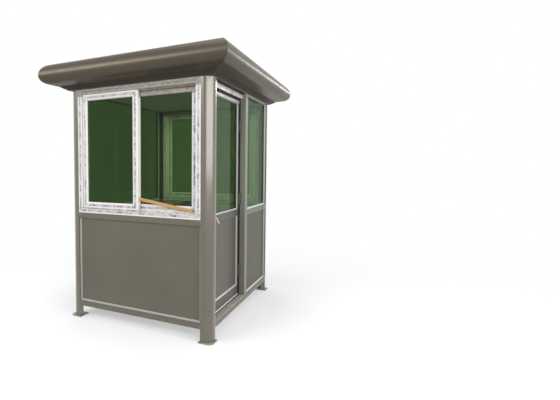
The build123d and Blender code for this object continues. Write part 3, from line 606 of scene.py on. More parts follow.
@dataclass(frozen=True)
class PlanedPine:
    """Planed pine batten: orange-tan, growth rings as long lines, and one knot near its middle.

    Its rings are about 1.5 mm apart and are drawn 5 mm apart, so that they show.
    """

    name: str
    middle: Point
    slope: float
    knot_place: Point
    light: str = "c2995f"
    dark: str = "ab7c40"
    knot: str = "8a5a2c"
    ring_mm: float = 5.0
    bands_in_unit: float = 6.0
    stretch: Point = (0.06, 1.0, 1.0)
    knot_mm: float = 6.0
    ring_depth_mm: float = 0.15

    def make(self) -> Material:
        """Builds the wood, its grain turned to lie along the batten.

        Returns:
            The finished material.
        """
        shade = Shade(self.name)
        coords = shade.place()
        centred = shade.add("VectorMath", (coords, self.middle), operation="SUBTRACT")
        along = {"Vector": centred, "Rotation": (0.0, self.slope, 0.0), "Scale": self.stretch}
        turned = shade.add("Mapping", along)
        scale = per_metre(self.ring_mm) / self.bands_in_unit
        rings = {"Vector": turned, "Scale": scale, "Distortion": 5.0, "Detail": 3.0}
        grain = shade.add("TexWave", rings, "Fac", bands_direction="Z")
        share = shade.add("MapRange", (grain, 0.0, 1.0, 0.0, 0.7))
        tone = shade.add("Mix", {0: share, 6: self.light, 7: self.dark}, **COLOURS)
        from_knot = shade.add("VectorMath", (coords, self.knot_place), "Value", operation="DISTANCE")
        spot = shade.add("MapRange", (from_knot, self.knot_mm * MM, 2 * self.knot_mm * MM, 1.0, 0.0))
        tone = shade.add("Mix", {0: spot, 6: tone, 7: self.knot}, **COLOURS)
        normal = shade.add("Bump", {"Height": grain, "Distance": self.ring_depth_mm * MM, "Strength": 0.5})
        return shade.end(shade.add("BsdfPrincipled", {
            "Base Color": tone, "Roughness": shade.add("MapRange", (grain, 0.0, 1.0, 0.5, 0.7)),
            "Normal": normal,
        }))


@dataclass(frozen=True)
class Rubber:
    """Extruded EPDM rubber: near black, matt, with a faint bloom."""

    name: str
    base: str = "0f0f11"
    bloom: str = "1f1f24"
    bloom_mm: float = 20.0
    grain_mm: float = 1.5
    grain_depth_mm: float = 0.05

    def make(self) -> Material:
        """Builds the rubber.

        Returns:
            The finished material.
        """
        shade = Shade(self.name)
        bloom = shade.add("MapRange", (shade.grain(self.bloom_mm, 4.0), 0.4, 0.7, 0.0, 0.6))
        tone = shade.add("Mix", {0: bloom, 6: self.base, 7: self.bloom}, **COLOURS)
        skin = shade.grain(self.grain_mm, 2.0)
        normal = shade.add("Bump", {"Height": skin, "Distance": self.grain_depth_mm * MM, "Strength": 0.5})
        return shade.end(shade.add("BsdfPrincipled", {
            "Base Color": tone, "Roughness": shade.add("MapRange", (bloom, 0.0, 1.0, 0.55, 0.75)),
            "Normal": normal,
        }))


class Finish(Enum):
    """Every finish of the booth, named after what it is on the real one; some are darker copies that carry
    painted shade, and one is tinted with a painted reflection.
    """

    FRAME_PAINT = FlakePaint(
        "frame_flake_paint", base="665f53", flake="777163", cloud="5d574b", dust_and_shade="7b7566", roughness=0.25,
        metallic=0.5, coat=1.0, coat_roughness=0.15,
    )
    BEAM_PAINT = FlakePaint(
        "beam_flake_paint", base="645f52", flake="746f61", cloud="5c574a", roughness=0.4, metallic=0.15,
        coat=0.1,
    )
    PANEL_PAINT = FlakePaint(
        "panel_flake_paint", base="645f52", flake="746e60", cloud="5c564a", roughness=0.42, metallic=0.15,
        gloss=0.4, coat=0.05,
    )
    ROOF_PAINT = FlakePaint(
        "roof_flake_paint", base="544d42", flake="60594c", cloud="4b453a", roughness=0.34, metallic=0.55,
        gloss=0.1, coat=0.0, peel_depth_mm=0.004,
    )
    # A darker copy of the roof paint: painted shade under the eave.
    CORNICE_SHADED_PAINT = FlakePaint(
        "cornice_flake_paint_painted_shade", base="423d34", flake="504b40", cloud="39352d", roughness=0.45, metallic=0.2,
        gloss=0.3, coat=0.0,
    )
    # Lighter and greener than the panel paint: a painted reflection of green surroundings. Its dust is a
    # little darker than the paint, so the mullion and jambs darken towards the floor.
    JAMB_REFLECTION_PAINT = FlakePaint(
        "jamb_flake_paint_painted_reflection", base="747467", flake="838476", cloud="6b6b5f", dust_and_shade="716a5d", roughness=0.45,
        metallic=0.1, dust_height=1.6,
    )
    BASE_PAINT = FlakePaint(
        "base_flake_paint", base="8b8577", flake="9b9586", cloud="837d70", dust_and_shade="c0baac", roughness=0.45,
        metallic=0.1, coat=0.05,
    )
    # A darker copy of the panel paint for the door on the right side: painted shade.
    LEAF_SHADED_PAINT = FlakePaint(
        "leaf_flake_paint_painted_shade", base="575349", flake="676358", cloud="4f4b42", roughness=0.42, metallic=0.15,
        gloss=0.4, coat=0.05,
    )
    # A darker copy of the panel paint for the right side panel: painted shade.
    SIDE_SHADED_PAINT = FlakePaint(
        "side_flake_paint_painted_shade", base="4f4b3f", flake="5f5b4e", cloud="474338", roughness=0.42, metallic=0.15,
        gloss=0.3, coat=0.0,
    )
    BEAD = BeadAluminium("bead_satin_aluminium")
    STAINLESS = SatinMetal(
        "brushed_stainless", base="bcbcba", dark="9b9b99", roughness=0.26, grain=(0.02, 1.0, 1.0)
    )
    HINGE = HingeSteel("hinge_steel_under_paint")
    FLOOR = SatinMetal("tread_aluminium", base="b8b8b6", dark="8f8f8c", roughness=0.4, grain=(1.0, 0.1, 1.0))
    LOCK = SatinMetal(
        "satin_nickel_plate", base="dedad4", dark="bcb8b2", roughness=0.24, grain=(1.0, 0.05, 1.0)
    )
    THRESHOLD = SatinMetal(
        "worn_threshold_aluminium", base="bdb5ac", dark="9c948b", roughness=0.5, grain=(0.2, 1.0, 1.0),
        metallic=0.25,
    )
    SCREW = SatinMetal("zinc_plated_screw", base="b5b6ba", dark="8d8e93", roughness=0.3, grain=EVEN)
    FRAME_PLASTIC = WindowPlastic("frame_pvc_under_film")
    # The outer sash stands forward, out of most of the painted eave shade; the inner sash takes it in full.
    OUTER_PLASTIC = WindowPlastic(
        "outer_sash_pvc_under_film", middle=(-0.2865, 0.0, 1.637), half=(0.2875, 0.515), eave_shade_from=2.12,
        eave_shade_share=0.2,
    )
    INNER_PLASTIC = WindowPlastic(
        "inner_sash_pvc_under_film", middle=(0.2865, 0.0, 1.637), half=(0.2875, 0.515), eave_shade_from=2.12
    )
    HEAD_FILM = TransitFilm("head_transit_film")
    GLASS = TintedGlass("green_float_glass")
    LINING = PaintedSheet("lining_board", base="b5aa97", scuff="a2978a", roughness=0.5)
    CEILING = PaintedSheet("ceiling_board", base="c9c6bd", scuff="b7b4ab", roughness=0.55)
    DARK_SHEET = PaintedSheet("grey_powder_coat", base="4a4a4b", scuff="5b5b5c", roughness=0.42, metallic=0.2)
    SOCKET = PaintedSheet(
        "white_polycarbonate", base="e6e4df", scuff="d8d6d1", roughness=0.3, peel_mm=3.0, peel_depth_mm=0.02
    )
    SEALANT = PaintedSheet("grey_silicone", base="8d8b86", scuff="7b7974", roughness=0.45, peel_depth_mm=0.1)
    WELD = PaintedSheet("pvc_weld_bead", base="c4c0b8", scuff="aaa69f", roughness=0.4)
    ZINC = GalvanisedSteel("galvanised_steel")
    RUBBER = Rubber("epdm_rubber")

    def material(self) -> Material:
        """The finish's material, built once."""
        return bpy.data.materials.get(self.value.name) or self.value.make()


FINISHED_NODES: Dict[Finish, Tuple[str, ...]] = {
    Finish.FRAME_PAINT: ("corner_posts", "top_beams", "door_head"),
    Finish.BASE_PAINT: ("base_plates",),
    Finish.BEAM_PAINT: ("bottom_beams", "sill_rails"),
    Finish.JAMB_REFLECTION_PAINT: ("mullion", "door_jambs"),
    Finish.THRESHOLD: ("threshold",),
    Finish.LEAF_SHADED_PAINT: ("door_leaf_frame", "door_panel"),
    Finish.SIDE_SHADED_PAINT: ("side_panel",),
    Finish.PANEL_PAINT: ("front_panel", "back_panel", "left_panel"),
    Finish.ROOF_PAINT: ("fascia_front", "fascia_back", "fascia_left", "fascia_right", "roof_deck"),
    Finish.CORNICE_SHADED_PAINT: ("cornice",),
    Finish.BEAD: ("door_beads", "panel_beads", "fixed_glass_beads", "inner_trims"),
    Finish.GLASS: ("door_glass", "fixed_glass", "window_glass"),
    Finish.HINGE: ("hinge_frame_halves", "hinge_leaf_halves"),
    Finish.FRAME_PLASTIC: ("window_frames",),
    Finish.OUTER_PLASTIC: ("outer_sashes",),
    Finish.INNER_PLASTIC: ("inner_sashes",),
    Finish.ZINC: ("roof_frame", "floor_joists"),
    Finish.FLOOR: ("floor_plate",),
    Finish.CEILING: ("ceiling",),
    Finish.LINING: ("wall_linings",),
    Finish.STAINLESS: ("desk_top", "desk_brackets"),
    Finish.DARK_SHEET: ("drawer", "drawer_case", "keyboard_frame", "keyboard_tray"),
    Finish.SOCKET: ("power_socket", "wall_boxes"),
    Finish.LOCK: ("lock_plates", "key_cylinder", "door_lever"),
}


def cad_node(name: str) -> bpy.types.Object:
    """The shown object of a CAD node."""
    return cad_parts[name]


def paint(obj: bpy.types.Object, material: Material) -> None:
    """Puts one material in all of an object's slots.

    Args:
        obj: the object to paint.
        material: the material that it gets.
    """
    if not obj.material_slots:
        obj.data.materials.append(material)
    for place in obj.material_slots:
        place.material = material


class Form:
    """One bmesh while a piece is made from it."""

    def __init__(self, name: str) -> None:
        """Starts an empty form for the piece of this name."""
        self.name = name
        self.mesh = bmesh.new()

    def block(self, low: Point, high: Point, bevel: float = 0.0) -> List[bmesh.types.BMVert]:
        """Adds a block between two corners.

        Args:
            low: lowest corner in metres.
            high: highest corner in metres.
            bevel: width of the soft edge.

        Returns:
            The block's vertices before any bevel.
        """
        middle = [(a + b) / 2 for a, b in zip(low, high)]
        sides = [abs(b - a) for a, b in zip(low, high)]
        place = Matrix.Translation(middle) @ Matrix.Diagonal((*sides, 1.0))
        verts = bmesh.ops.create_cube(self.mesh, size=1.0, matrix=place)["verts"]
        if bevel:
            self.soften({edge for vert in verts for edge in vert.link_edges}, bevel)
        return verts

    def soften(self, edges: Iterable[bmesh.types.BMEdge], width: float) -> None:
        """Rounds some edges with two facets.

        Args:
            edges: the edges to round.
            width: how far the rounding reaches.
        """
        bmesh.ops.bevel(
            self.mesh, geom=list(edges), offset=width, offset_type="OFFSET", segments=2,
            profile=0.5, affect="EDGES", material=-1, clamp_overlap=True,
        )

    def rod(
        self, start: Point, end: Point, radius: float, sides: int, taper: float = 1.0
    ) -> List[bmesh.types.BMVert]:
        """Adds a closed round rod between two points.

        Args:
            start: middle of one end.
            end: middle of the other end.
            radius: its radius at the start.
            sides: facets round it.
            taper: the end's radius as a share of the start's.

        Returns:
            The rod's vertices.
        """
        a, b = Vector(start), Vector(end)
        turn = (b - a).to_track_quat("Z", "Y").to_matrix().to_4x4()
        place = Matrix.Translation((a + b) / 2) @ turn
        return bmesh.ops.create_cone(
            self.mesh, cap_ends=True, cap_tris=False, segments=sides, radius1=radius, radius2=radius * taper,
            depth=(b - a).length, matrix=place,
        )["verts"]

    def ring(self, low: Point, high: Point, axis: int, width: float) -> None:
        """Adds a closed rectangular ring, such as a gasket or a rim of sealant.

        Args:
            low: lowest corner of its outline.
            high: highest corner of its outline.
            axis: 0, 1 or 2, the axis that it faces.
            width: width of the ring inwards from its outline.
        """
        spans = [(low[a], high[a]) for a in range(3) if a != axis]
        inner = [(start + width, end - width) for start, end in spans]
        strips = (
            (spans[0], (spans[1][0], inner[1][0])),
            (spans[0], (inner[1][1], spans[1][1])),
            ((spans[0][0], inner[0][0]), inner[1]),
            ((inner[0][1], spans[0][1]), inner[1]),
        )
        for strip in strips:
            corners = []
            for end, outline in enumerate((low, high)):
                corner = [side[end] for side in strip]
                corner.insert(axis, outline[axis])
                corners.append(corner)
            self.block(*corners)

    def screw(self, seat: Point, facing: Vector, radius: float, proud: float) -> None:
        """Adds a domed screw head with a round driving recess.

        Args:
            seat: middle of the face that it sits on.
            facing: unit vector out of that face.
            radius: radius of the head.
            proud: height of the head.
        """
        top = Vector(seat) + facing * proud
        head = self.rod(seat, tuple(top), radius, SCREW_SIDES, SCREW_TOP)
        faces = {face for vert in head for face in vert.link_faces}
        crown = max(faces, key=lambda face: face.calc_center_median().dot(facing))
        for inset, rise in ((SCREW_RIM, SCREW_DOME), (SCREW_STEP, -SCREW_RECESS)):
            bmesh.ops.inset_region(self.mesh, faces=[crown], thickness=radius * inset)
            bmesh.ops.translate(self.mesh, verts=crown.verts, vec=facing * proud * rise)

    def finish(self, body: Body, coat: Finish, merge: bool = True) -> None:
        """Turns the form into a piece that rides on a body.

        Args:
            body: the CAD body that carries it.
            coat: its finish.
            merge: whether doubled vertices are merged.
        """
        if merge:
            bmesh.ops.remove_doubles(self.mesh, verts=self.mesh.verts, dist=MERGE_DISTANCE)
        bmesh.ops.recalc_face_normals(self.mesh, faces=self.mesh.faces)
        data = bpy.data.meshes.new(self.name)
        for face in self.mesh.faces:
            face.smooth = True
        for edge in self.mesh.edges:
            edge.smooth = len(edge.link_faces) == 2 and edge.calc_face_angle(HALF_TURN) < SMOOTH_ANGLE
        self.mesh.to_mesh(data)
        self.mesh.free()
        piece = add_object(self.name, data)
        data.materials.append(coat.material())
        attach(piece, body.value)
        log.info("made %s: %d faces", self.name, len(data.polygons))


def stretches(node: str, axis: int, gap: float) -> List[Span]:
    """Finds where a node's separate solids lie along one axis.

    Args:
        node: name of the CAD node.
        axis: 0, 1 or 2.
        gap: least empty length between two of them.

    Returns:
        Start and end of each stretch, in order.
    """
    values = sorted({vert.co[axis] for vert in cad_node(node).data.vertices})
    found = [[values[0], values[0]]]
    for value in values:
        if value - found[-1][1] > gap:
            found.append([value, value])
        found[-1][1] = value
    return [(start, end) for start, end in found]


def between(whole: Span, taken: Sequence[Span], margin: float) -> List[Span]:
    """Cuts taken stretches out of a whole one.

    Args:
        whole: start and end of the whole length.
        taken: stretches to leave out, in order.
        margin: free length kept beside each of them.

    Returns:
        What is left.
    """
    starts = [whole[0]] + [end + margin for _, end in taken]
    ends = [start - margin for start, _ in taken] + [whole[1]]
    return [(start, end) for start, end in zip(starts, ends) if end > start]


@dataclass
class DoorSeals:
    """Rubber in the door head's groove and beside the hinges, and the drip strip at the leaf's foot."""

    groove_height: float = 0.020
    groove_depth: float = 0.012
    play: float = 0.0004
    leaf_strip: float = 0.008
    leaf_proud: float = 0.0015
    jamb_strip: float = 0.0025
    jamb_depth: float = 0.012
    jamb_inset: float = 0.0005
    hinge_play: float = 0.002
    drip_depth: float = 0.005
    drip_height: float = 0.011
    drip_short: float = 0.005
    drip_slope: float = 0.6
    strip_back: float = 0.002
    lip_back: float = 0.0032
    lip_radius: float = 0.003
    lip_sides: int = 10
    soft_edge: float = 0.0006
    thin_edge: float = 0.0005

    def head_strip(self) -> None:
        """Lays the weather strip in the groove over the door, with its round lip outwards."""
        low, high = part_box("door_head")
        form = Form("door_head_seal")
        floor = high.z - self.groove_height + self.play
        form.block(
            (high.x - self.groove_depth + self.play, low.y + self.play, floor),
            (high.x - self.strip_back, high.y - self.play, high.z - self.play),
            self.soft_edge,
        )
        lip = (high.z + floor) / 2
        front = high.x - self.lip_back
        form.rod((front, low.y + MM, lip), (front, high.y - MM, lip), self.lip_radius, self.lip_sides)
        form.finish(Body.BOOTH, Finish.RUBBER)

    def hinge_strips(self) -> None:
        """Lays the seal on the leaf's edge and on the post, broken at each hinge."""
        low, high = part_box("door_leaf_frame")
        hinges = stretches("hinge_leaf_halves", 2, HINGE_GAP)
        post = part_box("mullion")[0].y
        inner = high.x + self.jamb_inset
        leaf = Form("leaf_edge_seal")
        jamb = Form("jamb_edge_seal")
        for bottom, top in between((low.z, high.z), hinges, self.hinge_play):
            leaf.block(
                (high.x, high.y - self.leaf_strip, bottom), (high.x + self.leaf_proud, high.y, top),
                self.thin_edge,
            )
            jamb.block(
                (inner, post - self.jamb_strip, bottom), (inner + self.jamb_depth, post, top), self.soft_edge
            )
        leaf.finish(Body.DOOR, Finish.RUBBER)
        jamb.finish(Body.BOOTH, Finish.RUBBER)

    def drip_strip(self) -> None:
        """Fixes the sloped drip strip along the bottom of the leaf."""
        low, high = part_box("door_leaf_frame")
        form = Form("leaf_drip_strip")
        verts = form.block(
            (high.x, low.y + MM, low.z),
            (high.x + self.drip_depth, high.y - self.drip_short, low.z + self.drip_height),
        )
        outer = [v for v in verts if v.co.x > high.x + MM and v.co.z > low.z + MM]
        bmesh.ops.translate(form.mesh, verts=outer, vec=(0.0, 0.0, -self.drip_slope * self.drip_height))
        form.soften(form.mesh.edges, self.thin_edge)
        form.finish(Body.DOOR, Finish.BEAD)

    def build(self) -> None:
        """Makes all of the door's seals."""
        self.head_strip()
        self.hinge_strips()
        self.drip_strip()


@dataclass
class TransitFilms:
    """Film left on the door head and on the leaf's top rail."""

    thickness: float = 0.0003
    edge: float = 0.001
    leaf_rail: float = 0.030
    above_leaf: float = 0.017

    def build(self) -> None:
        """Lays both films on their faces."""
        low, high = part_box("door_head")
        leaf_low, leaf_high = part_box("door_leaf_frame")
        head = Form("door_head_film")
        top = high.z - DoorSeals.groove_height - self.edge
        head.block(
            (high.x, low.y + self.edge, leaf_high.z + self.above_leaf),
            (high.x + self.thickness, high.y - self.edge, top),
        )
        head.finish(Body.BOOTH, Finish.HEAD_FILM)
        rail = Form("leaf_rail_film")
        rail.block(
            (leaf_high.x, leaf_low.y + self.edge, leaf_high.z - self.leaf_rail + self.edge),
            (leaf_high.x + self.thickness, leaf_high.y - DoorSeals.leaf_strip, leaf_high.z - self.edge),
        )
        rail.finish(Body.DOOR, Finish.HEAD_FILM)


@dataclass
class Gaskets:
    """Black rubber lines where each pane meets its sash or bead."""

    sash_width: float = 0.004
    bead_width: float = 0.0025
    bead: float = 0.012
    proud: float = 0.0012

    def line(self, form: Form, low: Point, high: Point, axis: int, inset: float, width: float) -> None:
        """Adds the rubber line on both faces of one pane.

        Args:
            form: the form that takes it.
            low: lowest corner of the pane.
            high: highest corner of the pane.
            axis: 0 or 1, the axis that the pane faces.
            inset: distance from the pane's edge to the line.
            width: width of the line.
        """
        for outward in (-1, 1):
            face = (low, high)[outward > 0][axis]
            first, last = [a + inset for a in low], [a - inset for a in high]
            first[axis], last[axis] = sorted((face, face + outward * self.proud))
            form.ring(tuple(first), tuple(last), axis, width)

    def sash_line(self, form: Form, deep: Span) -> None:
        """Adds the line round the sliding pane that stands at one depth.

        Args:
            form: the form that takes it.
            deep: the pane's front and back along Y.
        """
        places = [vert.co for vert in cad_node("window_glass").data.vertices]
        axes = list(zip(*(co for co in places if deep[0] - MM < co.y < deep[1] + MM)))
        low, high = [min(values) for values in axes], [max(values) for values in axes]
        self.line(form, low, high, 1, 0.0, self.sash_width)

    def build(self) -> None:
        """Makes the lines round every pane."""
        sashes = Form("sash_gaskets")
        for deep in stretches("window_glass", 1, PANE_GAP):
            self.sash_line(sashes, deep)
        sashes.finish(Body.BOOTH, Finish.RUBBER)
        door = Form("door_gasket")
        low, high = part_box("door_glass")
        self.line(door, low, high, 0, self.bead, self.bead_width)
        door.finish(Body.DOOR, Finish.RUBBER)
        fixed = Form("fixed_gaskets")
        low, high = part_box("fixed_glass")
        left, right = stretches("fixed_glass", 0, WALL_GAP)
        for across, start in ((left, low.y), (right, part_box("side_panel")[0].y)):
            first, last = (across[0], start, low.z), (across[1], high.y, high.z)
            self.line(fixed, first, last, 0, self.bead, self.bead_width)
        fixed.finish(Body.BOOTH, Finish.RUBBER)


@dataclass
class TreadFloor:
    """Raised lens bars of the aluminium tread plate, laid left and right in turn."""

    pitch: float = 0.028
    length: float = 0.024
    width: float = 0.005
    proud: float = 0.001
    edge: float = 0.03
    sides: int = 8
    top: float = 0.45

    def bar(self, form: Form, middle: Point, turn: float) -> None:
        """Adds one lens-shaped bar.

        Args:
            form: the form that takes it.
            middle: its middle on the plate's top.
            turn: its angle about Z.
        """
        place = Matrix.Translation(middle) @ Matrix.Rotation(turn, 4, "Z")
        stretch = Matrix.Diagonal((self.length / 2, self.width / 2, self.proud, 1.0))
        bmesh.ops.create_cone(
            form.mesh, cap_ends=True, cap_tris=False, segments=self.sides, radius1=1.0, radius2=self.top,
            depth=1.0, matrix=place @ stretch @ Matrix.Translation((0.0, 0.0, 0.5)),
        )

    def build(self) -> None:
        """Covers the floor plate with bars."""
        low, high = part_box("floor_plate")
        form = Form("tread_bars")
        columns = int((high.x - low.x - 2 * self.edge) / self.pitch)
        rows = int((high.y - low.y - 2 * self.edge) / self.pitch)
        for column in range(columns + 1):
            x = low.x + self.edge + column * self.pitch
            for row in range(rows + 1):
                turn = QUARTER_TURN / 2 if (column + row) % 2 else -QUARTER_TURN / 2
                self.bar(form, (x, low.y + self.edge + row * self.pitch, high.z), turn)
        form.finish(Body.BOOTH, Finish.FLOOR, merge=False)


@dataclass
class Fixings:
    """Screw heads on the lock plates, the hinges and the roof deck's rim."""

    lock_radius: float = 0.003
    lock_proud: float = 0.0012
    lock_inset: float = 0.009
    hinge_radius: float = 0.0026
    hinge_proud: float = 0.0009
    hinge_pitch: float = 0.036
    hinge_inset: float = 0.0039
    hinge_plate: float = 0.002
    deck_radius: float = 0.006
    deck_proud: float = 0.003
    deck_pitch: float = 0.27
    deck_inset: float = 0.022

    def lock_screws(self) -> None:
        """Puts a screw near each end of both lock plates."""
        low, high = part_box("lock_plates")
        middle = (low.y + high.y) / 2
        form = Form("lock_plate_screws")
        for face, outward in ((low.x, -1.0), (high.x, 1.0)):
            facing = Vector((outward, 0.0, 0.0))
            for height in (low.z + self.lock_inset, high.z - self.lock_inset):
                form.screw((face, middle, height), facing, self.lock_radius, self.lock_proud)
        form.finish(Body.DOOR, Finish.SCREW)

    def hinge_screws(self) -> None:
        """Puts three screws in each half of each hinge."""
        leaf_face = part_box("door_leaf_frame")[1].x + self.hinge_plate
        leaf_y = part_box("hinge_leaf_halves")[0].y + self.hinge_inset
        post_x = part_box("hinge_frame_halves")[1].x - self.hinge_inset
        post_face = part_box("mullion")[0].y - self.hinge_plate
        sideways, forwards = Vector((1.0, 0.0, 0.0)), Vector((0.0, -1.0, 0.0))
        leaf = Form("hinge_leaf_screws")
        post = Form("hinge_frame_screws")
        for bottom, top in stretches("hinge_leaf_halves", 2, HINGE_GAP):
            for step in (-1, 0, 1):
                height = (bottom + top) / 2 + step * self.hinge_pitch
                leaf.screw((leaf_face, leaf_y, height), sideways, self.hinge_radius, self.hinge_proud)
                post.screw((post_x, post_face, height), forwards, self.hinge_radius, self.hinge_proud)
        leaf.finish(Body.DOOR, Finish.SCREW)
        post.finish(Body.BOOTH, Finish.SCREW)

    def deck_screws(self) -> None:
        """Puts a row of screws along each side of the roof deck."""
        low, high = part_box("roof_deck")
        form = Form("roof_deck_screws")
        up = Vector((0.0, 0.0, 1.0))
        for along in (0, 1):
            start, end = low[along] + self.deck_inset, high[along] - self.deck_inset
            count = max(2, round((end - start) / self.deck_pitch))
            for number in range(count + 1 - 2 * along):
                reach = start + (end - start) * (number + along) / count
                for across in (low[1 - along] + self.deck_inset, high[1 - along] - self.deck_inset):
                    spot = (reach, across) if along == 0 else (across, reach)
                    form.screw((*spot, high.z), up, self.deck_radius, self.deck_proud)
        form.finish(Body.BOOTH, Finish.SCREW)

    def build(self) -> None:
        """Makes all screw heads."""
        self.lock_screws()
        self.hinge_screws()
        self.deck_screws()


@dataclass
class RoofSealant:
    """Smoothed line of silicone where the roof deck meets the fascias."""

    width: float = 0.014
    proud: float = 0.0025
    sink: float = 0.001
    rounding: float = 0.8

    def build(self) -> None:
        """Lays the line round the deck."""
        low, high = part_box("roof_deck")
        reach = self.width / 2
        form = Form("roof_sealant")
        form.ring(
            (low.x - reach, low.y - reach, high.z - self.sink),
            (high.x + reach, high.y + reach, high.z + self.proud),
            2, self.width,
        )
        upper = [e for e in form.mesh.edges if all(v.co.z > high.z + MM for v in e.verts)]
        form.soften(upper, self.proud * self.rounding)
        form.finish(Body.BOOTH, Finish.SEALANT)


@dataclass
class WeldLines:
    """Fine weld beads at the mitred corners of the window frames and sashes."""

    frame_rail: float = 0.045
    sash_rail: float = 0.058
    radius: float = 0.0005
    sides: int = 6
    trim: float = 0.002

    def corners(self, form: Form, low: Point, high: Point, face: float, rail: float) -> None:
        """Adds the four beads of one frame, on one face.

        Args:
            form: the form that takes them.
            low: lowest corner of the frame.
            high: highest corner of the frame.
            face: where its face stands on Y.
            rail: width of its rails.
        """
        for x, inward in ((low[0], 1.0), (high[0], -1.0)):
            for z, upward in ((low[2], 1.0), (high[2], -1.0)):
                start = (x + inward * self.trim, face, z + upward * self.trim)
                end = (x + inward * (rail - self.trim), face, z + upward * (rail - self.trim))
                form.rod(start, end, self.radius, self.sides)

    def build(self) -> None:
        """Makes the beads on every frame and sash, outside and inside."""
        form = Form("window_weld_lines")
        rails = {
            "window_frames": self.frame_rail, "outer_sashes": self.sash_rail, "inner_sashes": self.sash_rail
        }
        for node, rail in rails.items():
            low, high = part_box(node)
            for faces in stretches(node, 1, WALL_GAP):
                for face in faces:
                    self.corners(form, low, high, face, rail)
        form.finish(Body.BOOTH, Finish.WELD)


@dataclass
class Batten:
    """The wooden batten wedged across the front window for transport."""

    rise: float = 0.085
    length: float = 0.5387
    knot_share: float = 0.40
    front: float = 0.0005

    def build(self) -> None:
        """Dresses the batten in pine with its knot."""
        low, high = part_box("transit_batten")
        middle = tuple((low + high) / 2)
        slope = math.atan2(self.rise, self.length)
        knot = (
            low.x + self.knot_share * (high.x - low.x), low.y + self.front,
            low.z + self.knot_share * (high.z - low.z),
        )
        paint(cad_node("transit_batten"), PlanedPine("planed_pine", middle, slope, knot).make())
        log.info("dressed transit_batten")


@dataclass(frozen=True)
class Lamp:
    """One soft rectangular lamp, placed round the booth by its angles and distance."""

    name: str
    azimuth: float
    height: float
    reach: float
    size: Span
    watts: float
    colour: str


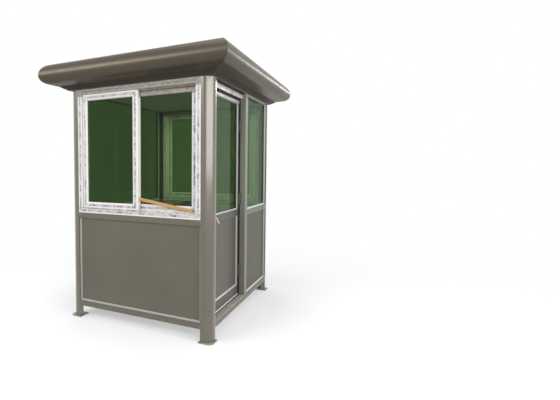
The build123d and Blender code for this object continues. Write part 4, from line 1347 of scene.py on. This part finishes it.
@dataclass
class Studio:
    """Pale floor, soft lamps and the photograph's camera."""

    eye: Point = (2.0006, -3.9671, 1.4921)
    yaw: float = 27.785
    pitch: float = 3.086
    focal_px: float = 403.28
    image_width_px: float = 560.0
    shift: Span = (0.1926, -0.0206)
    sensor: float = 36.0
    floor_size: float = 160.0
    pale: str = "fbfbfa"
    speck: str = "f8f8f8"
    grain_mm: float = 300.0
    white_near: float = 0.35
    near_reach: float = 1.6
    far_reach: float = 4.5
    bounce: float = 0.3
    ambient: float = 0.6
    aim: Point = (0.0, 0.0, 1.2)
    lamps: Tuple[Lamp, ...] = (
        Lamp("side_softbox", -32.0, 13.0, reach=6.2, size=(9.0, 2.8), watts=310.0, colour="f8faff"),
        Lamp("front_softbox", -122.0, 27.0, reach=7.0, size=(5.0, 1.8), watts=200.0, colour="fbfaff"),
        Lamp("back_softbox", 128.0, 30.0, reach=7.5, size=(5.0, 2.0), watts=75.0, colour="f8faff"),
        Lamp("side_nose_strip", 65.7, 19.7, reach=7.64, size=(1.4, 0.4), watts=32.0, colour="fffdf8"),
        Lamp("top_softbox", -60.0, 80.0, reach=5.0, size=(3.4, 3.4), watts=60.0, colour="f6f9ff"),
    )
    cabin_watts: float = 20.0
    cabin_size: Span = (1.0, 1.2)
    cabin_drop: float = 0.01

    def camera(self) -> None:
        """Places the camera where the photograph was taken from."""
        data = bpy.data.cameras.new("camera")
        data.sensor_width = self.sensor
        data.lens = self.focal_px * self.sensor / self.image_width_px
        data.shift_x, data.shift_y = self.shift
        camera = add_object("camera", data)
        camera.location = self.eye
        camera.rotation_euler = (QUARTER_TURN - math.radians(self.pitch), 0.0, math.radians(self.yaw))
        bpy.context.scene.camera = camera

    def lamp(self, name: str, size: Span, watts: float, colour: str = WHITE) -> bpy.types.Object:
        """Adds a soft rectangular lamp that the camera doesn't see.

        Args:
            name: the lamp's name.
            size: its width and height in metres.
            watts: its power.
            colour: its sRGB hex colour.

        Returns:
            The lamp's object, still to be placed.
        """
        data = bpy.data.lights.new(name, "AREA")
        data.shape = "RECTANGLE"
        data.size, data.size_y = size
        data.energy = watts
        data.color = to_linear(colour)[:3]
        made = add_object(name, data)
        made.visible_camera = False
        return made

    def lights(self) -> None:
        """Places the lamps round the booth, and a weak fill under its ceiling that lights the inside."""
        for lamp in self.lamps:
            placed = self.lamp(lamp.name, lamp.size, lamp.watts, lamp.colour)
            around, up = math.radians(lamp.azimuth), math.radians(lamp.height)
            level = math.cos(up)
            outward = Vector((level * math.cos(around), level * math.sin(around), math.sin(up)))
            placed.location = Vector(self.aim) + outward * lamp.reach
            placed.rotation_euler = outward.to_track_quat("Z", "Y").to_euler()
        fill = self.lamp("cabin_fill", self.cabin_size, self.cabin_watts)
        fill.location = (0.0, 0.0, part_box("ceiling")[0].z - self.cabin_drop)
        fill.visible_glossy = False

    def sky(self) -> None:
        """Soft light from all round, white where the camera, metal or glass sees it."""
        shade = Shade("studio", world=True)
        path = shade.add("LightPath").node.outputs
        seen = shade.add("Math", (path["Is Camera Ray"], path["Is Glossy Ray"]), operation="MAXIMUM")
        seen = shade.add("Math", (seen, path["Is Transmission Ray"]), operation="MAXIMUM")
        values = {"Color": WHITE, "Strength": shade.add("MapRange", (seen, 0.0, 1.0, self.ambient, 1.0))}
        bpy.context.scene.world = shade.end(shade.add("Background", values))

    def floor(self) -> None:
        """Adds the pale floor: white to the camera but for the soft shadow, and grey to bounced light."""
        form = bmesh.new()
        bmesh.ops.create_grid(form, x_segments=1, y_segments=1, size=self.floor_size / 2)
        data = bpy.data.meshes.new("studio_floor")
        form.to_mesh(data)
        form.free()
        shade = Shade("studio_floor")
        grain = shade.add(
            "Mix", {0: shade.grain(self.grain_mm, 3.0), 6: self.pale, 7: self.speck}, **COLOURS
        )
        grey = (self.bounce, self.bounce, self.bounce, 1.0)
        bounce = shade.add("BsdfDiffuse", {"Color": grey})
        matt = shade.add("BsdfDiffuse", {"Color": grain})
        white = shade.add("Emission", {"Color": WHITE, "Strength": 1.0})
        reach = shade.add("VectorMath", (shade.place(),), "Value", operation="LENGTH")
        share = shade.add("MapRange", (reach, self.near_reach, self.far_reach, self.white_near, 1.0))
        path = shade.add("LightPath").node.outputs
        mirrored = shade.add(
            "Math", (path["Is Glossy Ray"], path["Is Transmission Ray"]), operation="MAXIMUM"
        )
        bright = shade.add("MixShader", (mirrored, shade.add("MixShader", (share, matt, white)), white))
        both = shade.add("MixShader", (path["Is Diffuse Ray"], bright, bounce))
        data.materials.append(shade.end(both))
        floor = add_object("studio_floor", data)

    def build(self) -> None:
        """Sets up the whole studio."""
        self.camera()
        self.sky()
        self.floor()
        self.lights()
        bpy.context.scene.view_settings.view_transform = "Standard"
        log.info("studio: camera, floor and %d lamps", len(self.lamps))


def dress_cad_nodes() -> None:
    """Gives every CAD node its finish."""
    for finish, nodes in FINISHED_NODES.items():
        for name in nodes:
            paint(cad_node(name), finish.material())
        log.info("dressed %s in %s", ", ".join(nodes), finish.value.name)


def main() -> None:
    """Builds the dressed booth."""
    Studio().build()
    dress_cad_nodes()
    groups = (Batten, DoorSeals, TransitFilms, Gaskets, TreadFloor, Fixings, RoofSealant, WeldLines)
    for group in groups:
        group().build()


if __name__ == "__main__":
    main()
